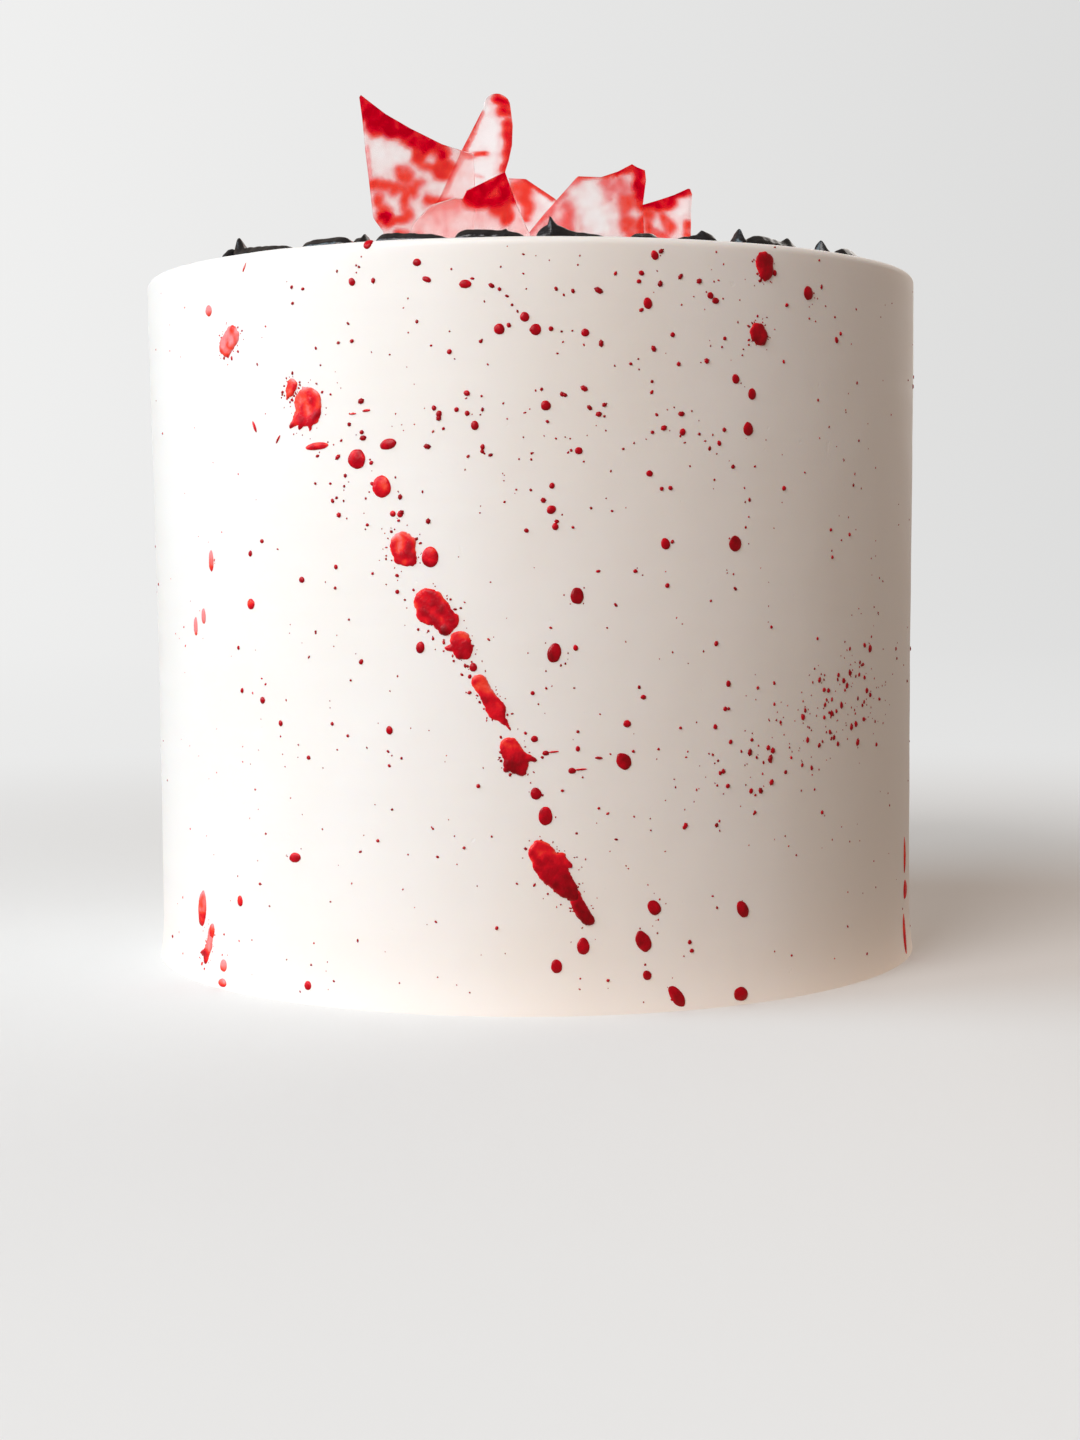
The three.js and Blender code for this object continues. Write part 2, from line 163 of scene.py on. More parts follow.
# The small drops picked out by name, in the same form as the drops above.
SMALL_DROPS = {
    "over_the_rim": (-21.5, 137.4, 1.6, 2.4, -12, 0.2),
    "under_it": (-13.5, 130.5, 1.7, 1, -22, 0.1),
    "twin_of_the_trail": (-18.5, 89.7, 1.1, 1.1, 0, 0.2),
    "other_twin": (-17.5, 89.6, 1.1, 1.2, 0, 0.2),
    "beside_the_bean": (-15, 66, 1.6, 2.2, -10, 0.1),
    "under_the_bean": (-8, 62.5, 1.4, 1.6, 0, 0.1),
    "comet": (1.3, 47.2, 1.2, 0.9, 0, 0),
    "comet_tail": (2.3, 47.4, 2, 0.35, 5, 0.2),
    "lower_comet": (4.7, 44, 1.4, 1.1, 0, 0),
    "lower_comet_tail": (5.8, 44.2, 2.4, 0.35, 4, 0.2),
    "dash": (8.2, 46.2, 1.4, 0.5, -4, 0),
    "flick_left": (-40.3, 106, 0.6, 2.3, 25, 0.3),
    "flick_right": (-36, 103.5, 0.4, 1.8, -35, 0.2),
    "high_flick": (-41.5, 135, 0.35, 2, -30, 0.6),
    "dashes_right": (-22, 108, 1.6, 0.5, 4, 0.2),
    "dashes_left": (-24, 107.5, 1.5, 0.35, 3, 0.4),
    "foot_left": (-32.5, 3.5, 1.6, 1.7, 0, 0.2),
    "foot_drop": (-45.5, 17.5, 1.6, 2.1, 0, 0.3),
    "pool_left": (-49.5, 1.2, 2.8, 1.6, 0, 0.5),
    "pair_above": (20.5, 12.3, 0.8, 0.9, 0, 0),
    "pair_below": (20.8, 10.7, 0.9, 0.8, 0, 0),
    "low_right": (14.5, 6.8, 1.6, 1.8, 30, 0),
    "run_right": (71.5, 21, 1.3, 7.5, 0, 0.4),
}

# Fields of droplets: how many, the bearings and the heights that they spread between, and their widths.
DROPLET_FIELDS = [
    (15, (-2, 50), (84, 135), (0.9, 1.8)),
    (9, (-32, -6), (92, 132), (0.7, 1.3)),
    (7, (-42, -12), (48, 90), (0.8, 1.3)),
    (9, (-6, 32), (28, 66), (0.8, 1.5)),
    (8, (42, 60), (42, 66), (0.7, 1.4)),
    (26, (-34, 50), (74, 136), (0.6, 1)),
    (24, (-46, 34), (4, 72), (0.6, 1)),
    (16, (-16, 26), (100, 135), (0.9, 2)),
]
DROPLET_LEAN = 35
DROPLET_WASH = 0.08

# Where the gel was flung across the far side: from one bearing and height to another.
FAR_TRAILS = [
    ((105, 126), (158, 24), 11),
    ((-148, 118), (-98, 14), 10),
]
FAR_DROP_SIZES = (2.2, 5)
FAR_DROP_STRAY = (5, 6)
FAR_DROP_LEAN = 30
FAR_DROP_WASH = 0.25

# How a drop stands on the icing, how ragged its edge is, and the longest side past which its mesh is finer,
# first for a drop of the splats' piece and then for a small one.
DROP_ROOT = 0.9
DROP_RISE = 0.22
DROP_RISE_WITH_SIZE = 0.06
DROP_SAG = 0.08
DROP_LUMP = 1.3
DROP_RAGGED = 0.07
SMALL_DROP_RAGGED = 0.05
LONG_DROP = 4
LONG_SMALL_DROP = 1

# How a splat stands on the icing, how fine its mesh and how ragged its edge is.
SPLAT_RISE = 0.42
SPLAT_EDGE = 0.7
SPLAT_ROOT = 0.45
SPLAT_SUNK = 0.04
SPLAT_LUMP = 1.7
SPLAT_GRID = 0.3
SPLAT_RAGGED = 0.16
RAGGED_REACH = 0.6

# How deep the gel's colour is with no wash, how much a full wash takes from it, and how much the edge does.
SPLAT_DEPTH = 0.74
DROP_DEPTH = 0.78
WASH_PALES = 1.1
EDGE_PALES = 0.25

# Fields of specks: how many, the bearings and the distances along the skin that they spread between, and
# their widths.
SPECK_FIELDS = [
    (230, (-66, 66), (3, 136), (0.2, 0.5)),
    (120, (-32, 58), (66, 136), (0.25, 0.7)),
    (80, (-45, 25), (20, 70), (0.25, 0.7)),
    (170, (66, 294), (3, 136), (0.3, 0.9)),
    (120, (0, 360), (142, 205), (0.3, 0.9)),
    (24, (-50, 60), (2, 20), (0.3, 0.7)),
    (130, (-30, 30), (88, 136), (0.35, 1.2)),
]
# The mist of specks on the right: how many, the bearing and the distance along the skin of its middle, its
# spread in each, how far it climbs for each degree to the right, and the widths.
MIST = (200, (42, 50), (11, 6), 0.4, (0.25, 1.2))
MIST_LEAN = 30
# How far up the icing the lowest speck is, how far a speck stands out for its width, and how dark specks are.
LOWEST_SPECK = 0.6
SPECK_RISE = 0.32
SPECK_DEPTH = (0.62, 0.86)
# How much paler they are on the left, how many degrees to the left that starts, and over how many it grows.
SPECKS_PALER = 0.35
SPECKS_PALE_FROM = 36
SPECKS_PALE_OVER = 15

# Each stroke: first and last bearing in degrees, height, taper towards its last end, and the tips drawn up
# from it as place, extra height, reach and how far the tip leans along the stroke.
FRONT_STROKES = [
    (-56.9, -55.3, 3.3, 0, []),
    (-55, -38.3, 3.3, 0.4, [(0.07, 3.0, 0.12, 0)]),
    (-38, -27.8, 2.7, -0.1, []),
    (-27.5, -25.4, 2.1, 0, [(0.8, 0.7, 0.22, 0)]),
    (-24.3, -12, 2.9, 0.4, []),
    (-11.7, -0.6, 2.8, 0.3, [(0.7, 0.4, 0.05, 0.3)]),
    (0.5, 12.2, 2.7, 0.55, [(0.22, 1.2, 0.34, 0), (0.22, 1.6, 0.07, -0.15)]),
    (14.7, 19.1, 1.9, 0, []),
    (21.6, 29, 2.7, -0.5, [(0.7, 0.7, 0.2, -0.3)]),
    (32.4, 34.1, 2.3, 0, [(0.5, 1.5, 0.35, 0)]),
    (34.5, 48, 3.4, 0.6, [(0.68, 1.2, 0.15, 0)]),
    (52.2, 58, 2.6, 0.5, [(0.08, 1.9, 0.25, 0)]),
    (58.8, 69, 3.7, 0.3, []),
]
FAR_STROKES = 15
FAR_STROKES_FROM = 71
FAR_STROKES_TO = 297
# How far the bead curls in under itself, how finely it is meshed, and how far its foot is sunk.
STROKE_UNDERCUT = math.radians(35)
STROKE_ROUND = 26
STROKE_ALONG = 72
STROKE_SUNK = 0.1
# How blunt the ends are, how many ridges the nozzle leaves and how high, and how much the bead wanders.
STROKE_BLUNT = 5
STROKE_RIDGES = 6
STROKE_RIDGE = 0.035
STROKE_WANDER = 0.07

# Each shard: the place of its foot on the top, its turn and lean in degrees, its thickness, the ends of its
# foot, and its outline above the icing from the right end of the foot round to the left one. Its stains are
# dabs from one place to another with a reach and a depth of colour, its clear places are rounds that the gel
# missed, and its wash is the tint all over.
SHARDS = [
    {
        "place": (-22, -5), "turn": 16, "lean": -5, "thickness": 2.2, "foot": (-6, 9), "wash": 0.1,
        "outline": [(11, 17), (11, 27.5), (8.6, 28.1), (4.2, 29.3), (-2.3, 32.2), (-7.5, 35), (-12.6, 38.7),
                    (-12.1, 34.2), (-11.7, 27.6), (-11.1, 21.5), (-10.5, 13.9), (-8.5, 11.1)],
        "stains": [((-12.4, 38), (-9.6, 32.8), 2.1, 0.95), ((-10, 35), (-4, 32.2), 2.6, 1),
                   ((-7, 32.2), (-6, 32), 1.6, 1.15), ((-7.5, 29.4), (-7.5, 26.1), 0.7, 0.25),
                   ((-4, 32), (3.5, 27.4), 2.2, 0.95), ((0, 27), (4.6, 24.4), 2.4, 0.75),
                   ((-4, 23.4), (-2.4, 20), 1.7, 0.6),
                   ((-10.6, 20.4), (-5, 19.8), 1.3, 0.62), ((-2.6, 19.4), (-1, 21.4), 1.2, 0.58),
                   ((-9.6, 17.6), (-8.2, 15.4), 1.2, 0.6), ((-4, 18), (-3.2, 14), 1.1, 0.58),
                   ((-9, 13.8), (-8, 13.5), 1.1, 1), ((-7.4, 13), (-4, 13.6), 1.1, 0.66),
                   ((0.8, 17.5), (6.4, 17), 1.1, 0.62), ((-6, 10.6), (-1, 10.4), 0.7, 0.5),
                   ((8.4, 27.8), (10.8, 27.2), 0.5, 0.3), ((-11.5, 28), (-10.9, 21), 0.35, 0.4)],
        "clear": [((1.9, 26.2), 1.2), ((-6.2, 16.8), 1.0), ((-8.5, 27), 2.4), ((-4.6, 27.2), 1.8)],
    },
    {
        "place": (-14, 14), "turn": -18, "lean": 4, "thickness": 1.8, "foot": (-10, 8), "wash": 0.01,
        "outline": [(9, 16), (9.2, 25.3), (10.2, 28), (11, 31), (11.3, 35.1), (8.1, 38.9, 2.8),
                    (-0.1, 30.2), (-5.5, 20.5), (-11.4, 15.5), (-12, 8)],
        "stains": [((8.6, 41.0), (10.2, 39.6), 1.0, 0.9), ((10.1, 39.4), (9.8, 38), 1.2, 0.9),
                   ((10.3, 35.6), (10.6, 31), 1.0, 0.85), ((10.6, 31), (9.4, 26), 0.9, 0.8),
                   ((0.9, 29.3), (5.3, 29.5), 0.5, 0.66), ((4.8, 38), (-5.4, 20), 0.32, 0.75),
                   ((-5.4, 20), (-9.4, 17), 0.8, 0.58), ((2, 25.5), (4.4, 24.6), 0.3, 0.3)],
        "clear": [((9.2, 37), 0.6)],
    },
    {
        "place": (-12, -17), "turn": 10, "lean": -7, "thickness": 2.4, "foot": (-12, 11.5), "wash": 0.17,
        "outline": [(12, 8.6), (9.3, 15.1), (7.1, 21.6), (-0.8, 17.6), (-1.7, 15.9), (-3.3, 16.1),
                    (-8, 14.6), (-11.3, 11.3), (-12.8, 8.6)],
        "stains": [((6.9, 20.8), (0.2, 16.6), 1.3, 1), ((6.9, 19.4), (8.2, 16.2), 1.5, 1),
                   ((0.4, 15.9), (7.6, 16), 1.5, 1), ((5.6, 14.4), (7.2, 12.9), 1.8, 0.72),
                   ((6.6, 13.2), (6.8, 12.4), 1.5, 0.6)],
        "clear": [],
    },
    {
        "place": (3, 3), "turn": -24, "lean": 5, "thickness": 1.8, "foot": (-6, 5.5), "wash": 0.06,
        "outline": [(7, 9), (6, 15), (2.4, 18.6), (-3.8, 22.9), (-7.3, 23.3), (-8, 12)],
        "stains": [((-5.6, 21.4), (-3.2, 20.6), 1.6, 0.62), ((-4.6, 20), (-3.4, 17), 1.6, 0.62),
                   ((-3.8, 17), (-4, 15), 0.9, 0.6), ((-3.8, 22.7), (2.6, 18.3), 0.4, 0.75),
                   ((-7, 23), (-4, 22.9), 0.3, 0.4)],
        "clear": [],
    },
    {
        "place": (12, -5), "turn": 14, "lean": -3, "thickness": 2.2, "foot": (-12, 10.5), "wash": 0.17,
        "outline": [(11.6, 10.5), (11.5, 16.7), (12.3, 21.7), (12.1, 23.7), (10.4, 24.3), (9.3, 24.9),
                    (6.3, 23.3), (2.6, 22), (-2.3, 22), (-9.3, 14.4), (-12.6, 10.5)],
        "stains": [((-12.6, 11), (-2.8, 21.4), 1.2, 0.5), ((-2.2, 21.8), (6.2, 23), 0.45, 0.65),
                   ((6.2, 23), (9.4, 24.4), 0.7, 0.9), ((4.4, 21.4), (8, 19), 2.0, 0.46),
                   ((10.9, 23.4), (11.2, 18.6), 1.3, 1), ((8.8, 17), (9.8, 10), 2.4, 0.56),
                   ((11, 17), (11.2, 10), 0.7, 0.75), ((-4.6, 15.4), (-4.4, 10.6), 1.4, 0.5),
                   ((-8.6, 11.6), (-6.4, 12.6), 1.2, 0.4), ((3, 19.2), (4.6, 17.6), 0.9, 0.36)],
        "clear": [((10.2, 14.6), 0.9), ((0.6, 18), 2.6), ((1.4, 13.4), 2.8), ((-3.2, 19), 0.9)],
    },
    {
        "place": (28, 3), "turn": -22, "lean": 4, "thickness": 2, "foot": (-4.2, 4.5), "wash": 0.12,
        "outline": [(5.7, 10.1), (5.9, 15.8), (6.2, 19), (5.8, 20.1), (2.7, 19), (-0.6, 18.2), (-4.9, 17.3)],
        "stains": [((-4.8, 16.9), (5.6, 19.6), 0.75, 0.95), ((-1.4, 17.4), (1.2, 17.6), 1.4, 0.95),
                   ((-3.4, 15.6), (-3, 11), 1.2, 0.6), ((-0.2, 15.2), (1.4, 12.4), 1.2, 0.58),
                   ((-2, 12), (0.6, 10.6), 1.0, 0.55), ((5.2, 13), (5.4, 10), 0.7, 0.6)],
        "clear": [((3.2, 15.4), 1.4), ((-1.4, 13.4), 0.7)],
    },
]
SLOT_DEPTH = 7
SLOT_TAPER = 1.5
TIP_STEPS = 10
SHARD_GRID = 0.5
SHARD_WARP = 0.12
SHARD_WARP_REACH = 7
# How stains vary over a shard: the reach of the broad noise and of the fine one, and what each does.
STAIN_BROAD = 2.6
STAIN_FINE = 0.9
STAIN_STRAY = 0.9
STAIN_FINE_STRAY = 0.35
STAIN_PATCHY = 0.25
STAIN_EDGE = 2.2
STAIN_HALO = 0.26
HALO_REACH = 1.2
HALO_EDGE = 2.6


def length(name, description, default, least):
    return FloatProperty(name=name, description=description, default=default, min=least, unit="LENGTH")


def tint(name, description, default):
    return FloatVectorProperty(
        name=name, description=description, subtype="COLOR", default=default, min=0, max=1)


class LayerCakeSizes(bpy.types.PropertyGroup):
    radius: length("Cake radius", "From the axis to the smooth side", 78.5 * MM, 0.02)
    height: length("Cake height", "From the underside to the iced top", TOP_OF_ICING, 0.02)
    edge_round: length("Edge rounding", "Radius of the top edge of the icing", 1.5 * MM, 0.0002)
    ring_radius: length("Ring radius", "From the axis to the middle of the piped ring", 69 * MM, 0.01)
    stroke_width: length("Stroke width", "Width of a piped stroke at its fullest", 4.2 * MM, 0.0005)
    shard_edge: length("Shard edge", "How far the edges of the glass are worn round", 0.28 * MM, 0.00005)
    seed: IntProperty(name="Spatter seed", description="Start of the random draws", default=31, min=0)


class LayerCakeLooks(bpy.types.PropertyGroup):
    icing: tint("Icing", "Colour of the smooth buttercream", (0.93, 0.912, 0.893))
    icing_cream: tint("Richer icing", "Colour of the faint creamier patches", (0.91, 0.878, 0.838))
    piping: tint("Piping", "Colour of the black buttercream", (0.006, 0.006, 0.008))
    piping_dull: tint("Duller piping", "Colour of the duller patches of the piping", (0.016, 0.017, 0.02))
    gel_pale: tint("Palest gel", "Colour of the thinnest wash of gel", (0.94, 0.27, 0.28))
    gel_bright: tint("Bright gel", "Colour of a thin layer of gel", (0.95, 0.06, 0.03))
    gel_red: tint("Red gel", "Colour of a full layer of gel", (0.8, 0.006, 0.018))
    gel_crimson: tint("Crimson gel", "Colour of a heavy layer of gel", (0.48, 0.0, 0.01))
    gel_deep: tint("Deepest gel", "Colour of a thick drop of gel", (0.2, 0.0, 0.003))
    glass_clear: tint("Clear sugar", "Tint of the unstained sugar glass", (0.985, 0.955, 0.955))
    backdrop: tint("Backdrop", "Tone of the floor and the backdrop", (0.83, 0.83, 0.825))


def sizes():
    return bpy.context.scene.layer_cake_sizes


def looks():
    return bpy.context.scene.layer_cake_looks


# Numbers


def between(ends, share):
    return ends[0] + (ends[1] - ends[0]) * share


def held(value, low=0.0, high=1.0):
    return min(max(value, low), high)


def smooth(value):
    value = held(value)
    return value * value * (3 - 2 * value)


def scattered(index, step):
    """A number from 0 to 1 that never bunches up as the index grows."""
    return (index * step) % 1


def to_segment(x, y, start, end):
    """How far a point is from a straight line between two others, and how much of the line lies before it."""
    run_x = end[0] - start[0]
    run_y = end[1] - start[1]
    share = held(((x - start[0]) * run_x + (y - start[1]) * run_y) / max(run_x ** 2 + run_y ** 2, NO_LENGTH))
    return math.hypot(x - start[0] - run_x * share, y - start[1] - run_y * share), share


# The skin of the icing


def iced_radius(bearing, height, radius, tall):
    left = (1 - math.sin(bearing)) / 2
    top = left * smooth((height - tall + TOP_SWELL_REACH) / TOP_SWELL_REACH)
    foot = max(0, 1 - height / FOOT_SWELL_REACH) ** 2
    wave = math.sin(3 * bearing + height / 40) + 0.6 * math.sin(5 * bearing - height / 23)
    return radius + TOP_SWELL * top + FOOT_SWELL * foot + ICING_WAVE * wave


class Skin:
    """The skin of the icing, from the sizes in the sidebar."""

    def __init__(self):
        self.radius = sizes().radius / MM
        self.tall = sizes().height / MM
        self.edge = sizes().edge_round / MM
        self.side = self.tall - self.edge
        self.rim = self.side + self.edge * math.pi / 2

    def section(self, along):
        """Distance from the axis, height, and how far the skin has turned in towards the top."""
        if along <= self.side:
            return self.radius, along, 0.0
        if along <= self.rim:
            tilt = (along - self.side) / self.edge
            flat = self.radius - self.edge * (1 - math.cos(tilt))
            return flat, self.side + self.edge * math.sin(tilt), tilt
        return self.radius - self.edge - (along - self.rim), self.tall, math.pi / 2

    def point(self, bearing, along, outward=0.0):
        """A point on the skin, or that far outside it."""
        flat, up, tilt = self.section(along)
        flat *= iced_radius(bearing, up, self.radius, self.tall) / self.radius
        place = Vector((flat * math.sin(bearing), -flat * math.cos(bearing), up))
        rise = outward + sum(depth * noise.noise(place / reach) for reach, depth in RELIEF)
        level = rise * math.cos(tilt)
        return place + Vector((level * math.sin(bearing), -level * math.cos(bearing), rise * math.sin(tilt)))

    def beside(self, bearing, along, right, up, outward):
        """The same, from a distance right of and above a place on the skin."""
        flat = max(self.section(along)[0], 4)
        return self.point(bearing + right / flat, along + up, outward)


# Finishing a piece


def placed(name, data):
    made = bpy.data.objects.new(name, data)
    bpy.context.scene.collection.objects.link(made)
    return made


def smooth_piece(bm, name, material):
    for face in bm.faces:
        face.smooth = True
    mesh = bpy.data.meshes.new(name)
    bm.to_mesh(mesh)
    bm.free()
    mesh.materials.append(material)
    return placed(name, mesh)


def finished(bm, name, material, replaced=(), smooth_angle=None):
    """Scales a shape to metres, keeps it inside the CAD model's box, and makes it a piece of the cake."""
    low, high = CAD_BOX
    for vert in bm.verts:
        vert.co = [held(value * MM, low[axis], high[axis]) for axis, value in enumerate(vert.co)]
    piece = smooth_piece(bm, name, material)
    if smooth_angle is not None:
        piece.data.set_sharp_from_angle(angle=math.radians(smooth_angle))
    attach(piece, "root")
    if replaced:
        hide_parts(*replaced)
    return piece


def gather(whole, part):
    """Adds one shape to another, and frees it."""
    carrier = bpy.data.meshes.new("carrier")
    part.to_mesh(carrier)
    part.free()
    whole.from_mesh(carrier)
    bpy.data.meshes.remove(carrier)


def turned(section, steps, merged):
    """A shape turned round the axis from a section, each point of which is a distance out and a height."""
    bm = bmesh.new()
    verts = [bm.verts.new((across, 0, up)) for across, up in section]
    edges = [bm.edges.new(pair) for pair in zip(verts, verts[1:])]
    bmesh.ops.spin(
        bm, geom=verts + edges, cent=(0, 0, 0), axis=(0, 0, 1), dvec=(0, 0, 0), angle=FULL_TURN, steps=steps,
        use_merge=True)
    bmesh.ops.remove_doubles(bm, verts=bm.verts[:], dist=merged)
    return bm


def cut_in_squares(bm, pitch, axes):
    """Cuts a shape along evenly spaced planes, so that it has points all over to shape and to colour."""
    for axis in axes:
        places = [vert.co[axis] for vert in bm.verts]
        low, high = min(places), max(places)
        cuts = max(1, math.ceil((high - low) / pitch))
        normal = Vector((axis == 0, axis == 1, axis == 2))
        for cut in range(1, cuts):
            bmesh.ops.bisect_plane(
                bm, geom=bm.verts[:] + bm.edges[:] + bm.faces[:], dist=CUT_TOLERANCE,
                plane_co=normal * between((low, high), cut / cuts), plane_no=normal)


# Materials


# What the node group takes in, and the value of each input until it is set.
GROUP_INPUTS = {"Scale": 100, "Stretch": (1, 1, 1), "Detail": 2, "From": 0.4, "To": 0.6}


def feed(node, inputs):
    """Sets each input of a node to the value it is given, or joins it to the output it is given."""
    for socket, value in inputs.items():
        if isinstance(value, bpy.types.NodeSocket):
            node.id_data.links.new(value, node.inputs[socket])
        else:
            node.inputs[socket].default_value = value
    return node


def add(tree, kind, inputs=None, **settings):
    made = tree.nodes.new(kind)
    for key, value in settings.items():
        setattr(made, key, value)
    return feed(made, inputs or {})


def uneven_group():
    """The node group for whatever varies over a surface: an even noise and a mask of patches cut from it."""
    name = "uneven_surface"
    if name in bpy.data.node_groups:
        return bpy.data.node_groups[name]
    group = bpy.data.node_groups.new(name, "ShaderNodeTree")
    for socket, value in GROUP_INPUTS.items():
        kind = "NodeSocketVector" if socket == "Stretch" else "NodeSocketFloat"
        group.interface.new_socket(name=socket, in_out="INPUT", socket_type=kind).default_value = value
    for socket in ("Height", "Mask"):
        group.interface.new_socket(name=socket, in_out="OUTPUT", socket_type="NodeSocketFloat")
    entry = add(group, "NodeGroupInput").outputs
    place = add(group, "ShaderNodeTexCoord").outputs["Object"]
    stretch = add(group, "ShaderNodeVectorMath", {0: place, 1: entry["Stretch"]}, operation="MULTIPLY")
    grain = add(group, "ShaderNodeTexNoise", {
        "Vector": stretch.outputs[0], "Scale": entry["Scale"], "Detail": entry["Detail"]}).outputs["Fac"]
    patches = add(
        group, "ShaderNodeMapRange", {"Value": grain, "From Min": entry["From"], "From Max": entry["To"]},
        interpolation_type="SMOOTHSTEP")
    add(group, "NodeGroupOutput", {"Height": grain, "Mask": patches.outputs["Result"]})
    return group


def uneven(tree, scale, stretch=(1, 1, 1), detail=2, patches=(0.4, 0.6)):
    """The height and the mask of an uneven surface."""
    low, high = patches
    inputs = {"Scale": scale, "Stretch": stretch, "Detail": detail, "From": low, "To": high}
    return add(tree, "ShaderNodeGroup", inputs, node_tree=uneven_group()).outputs


def new_material(name):
    material = bpy.data.materials.new(name)
    material.use_nodes = True
    tree = material.node_tree
    return material, tree, tree.nodes["Principled BSDF"]


def bumped(tree, heights):
    """The normal from bumps in a row, each with a height, a strength and a depth in millimetres."""
    normal = None
    for height, strength, depth in heights:
        bump = add(tree, "ShaderNodeBump", {"Strength": strength, "Distance": depth * MM, "Height": height})
        if normal is not None:
            feed(bump, {"Normal": normal})
        normal = bump.outputs["Normal"]
    return normal


def ranged(tree, value, low, high):
    return add(tree, "ShaderNodeMapRange", {"Value": value, "To Min": low, "To Max": high}).outputs["Result"]


def mixed(tree, share, first, second):
    inputs = {0: share, 6: (*first, 1), 7: (*second, 1)}
    return add(tree, "ShaderNodeMix", inputs, data_type="RGBA").outputs[2]


def ramp(tree, value, stops):
    made = add(tree, "ShaderNodeValToRGB", {"Fac": value})
    points = made.color_ramp.elements
    while len(points) < len(stops):
        points.new(0.5)
    for point, (place, colour) in zip(points, stops):
        point.position = place
        point.color = (*colour, 1)
    return made.outputs["Color"]


def stirred(tree, depth, height, amount):
    """A depth that a noise from 0 to 1 raises or lowers by up to half of an amount."""
    raised = add(tree, "ShaderNodeMath", {0: height, 1: amount, 2: depth}, operation="MULTIPLY_ADD")
    return add(tree, "ShaderNodeMath", {0: raised.outputs[0], 1: amount / 2}, operation="SUBTRACT").outputs[0]


def buttercream():
    """Smooth scraped buttercream: faint level scraper lines, a fine tooth, and slightly creamier patches."""
    material, tree, shader = new_material("scraped_buttercream")
    patches = uneven(tree, 22, (1, 1, 0.6), 3, (0.35, 0.75))
    lines = uneven(tree, 260, (0.12, 0.12, 1), 2)
    tooth = uneven(tree, 1500, (1, 1, 1), 3)
    pits = uneven(tree, 520, (1, 1, 1), 2, (0.73, 0.8))
    sunk = add(tree, "ShaderNodeMath", {0: pits["Mask"], 1: -1}, operation="MULTIPLY").outputs[0]
    feed(shader, {
        "Base Color": mixed(tree, patches["Mask"], looks().icing, looks().icing_cream),
        "Roughness": ranged(tree, lines["Height"], 0.42, 0.62),
        "Subsurface Weight": 0.12,
        "Subsurface Radius": (1, 0.72, 0.5),
        "Subsurface Scale": 2.5 * MM,
        "Specular IOR Level": 0.35,
        "Normal": bumped(tree, [
            (lines["Height"], 0.5, 0.12), (tooth["Height"], 0.35, 0.03), (sunk, 0.6, 0.05)]),
    })
    return material


def wet_gel():
    """Food gel: pale where it is thin, crimson where it is thick, wrinkled and wet."""
    material, tree, shader = new_material("wet_red_gel")
    depth = add(tree, "ShaderNodeAttribute", attribute_name="gel_depth").outputs["Fac"]
    swirl = uneven(tree, 900, (1, 1, 1), 3, (0.3, 0.7))
    wrinkles = uneven(tree, 1900, (1, 1, 0.8), 2, (0.45, 0.6))
    feed(shader, {
        "Base Color": ramp(tree, stirred(tree, depth, swirl["Height"], 0.5), [
            (0, looks().gel_pale), (0.26, looks().gel_bright), (0.43, looks().gel_red),
            (0.64, looks().gel_crimson), (1, looks().gel_deep)]),
        "Roughness": ranged(tree, swirl["Mask"], 0.2, 0.36),
        "Specular IOR Level": 0.2,
        "Normal": bumped(tree, [(wrinkles["Height"], 0.5, 0.12), (swirl["Height"], 0.4, 0.2)]),
    })
    return material


def black_piping():
    """Black buttercream as the nozzle leaves it: satin, with fine ribs along the stroke."""
    material, tree, shader = new_material("black_piped_buttercream")
    dull = uneven(tree, 700, (1, 1, 1), 3, (0.4, 0.7))
    ribs = uneven(tree, 1500, (1, 1, 2.2), 2)
    feed(shader, {
        "Base Color": mixed(tree, dull["Mask"], looks().piping, looks().piping_dull),
        "Roughness": ranged(tree, dull["Height"], 0.12, 0.34),
        "Specular IOR Level": 0.45,
        "Normal": bumped(tree, [(ribs["Height"], 0.4, 0.08)]),
    })
    return material


def stained_sugar():
    """Clear boiled sugar with red gel dried on it in smears."""
    material, tree, shader = new_material("stained_sugar_glass")
    stain = add(tree, "ShaderNodeAttribute", attribute_name="stain").outputs["Fac"]
    smear = uneven(tree, 520, (1, 1, 1), 4, (0.35, 0.65))
    feed(shader, {
        "Base Color": ramp(tree, stirred(tree, stain, smear["Height"], 0.3), [
            (0.02, looks().glass_clear), (0.24, (0.97, 0.66, 0.65)), (0.42, (0.94, 0.3, 0.31)),
            (0.6, (0.97, 0.08, 0.05)), (0.95, (0.74, 0.0, 0.02)), (1, (0.55, 0.0, 0.012))]),
        "Transmission Weight": 0.8,
        "IOR": 1.02,
        "Roughness": ranged(tree, stain, 0.04, 0.3),
        "Normal": bumped(tree, [(smear["Height"], 0.25, 0.1)]),
    })
    return material


# The pieces


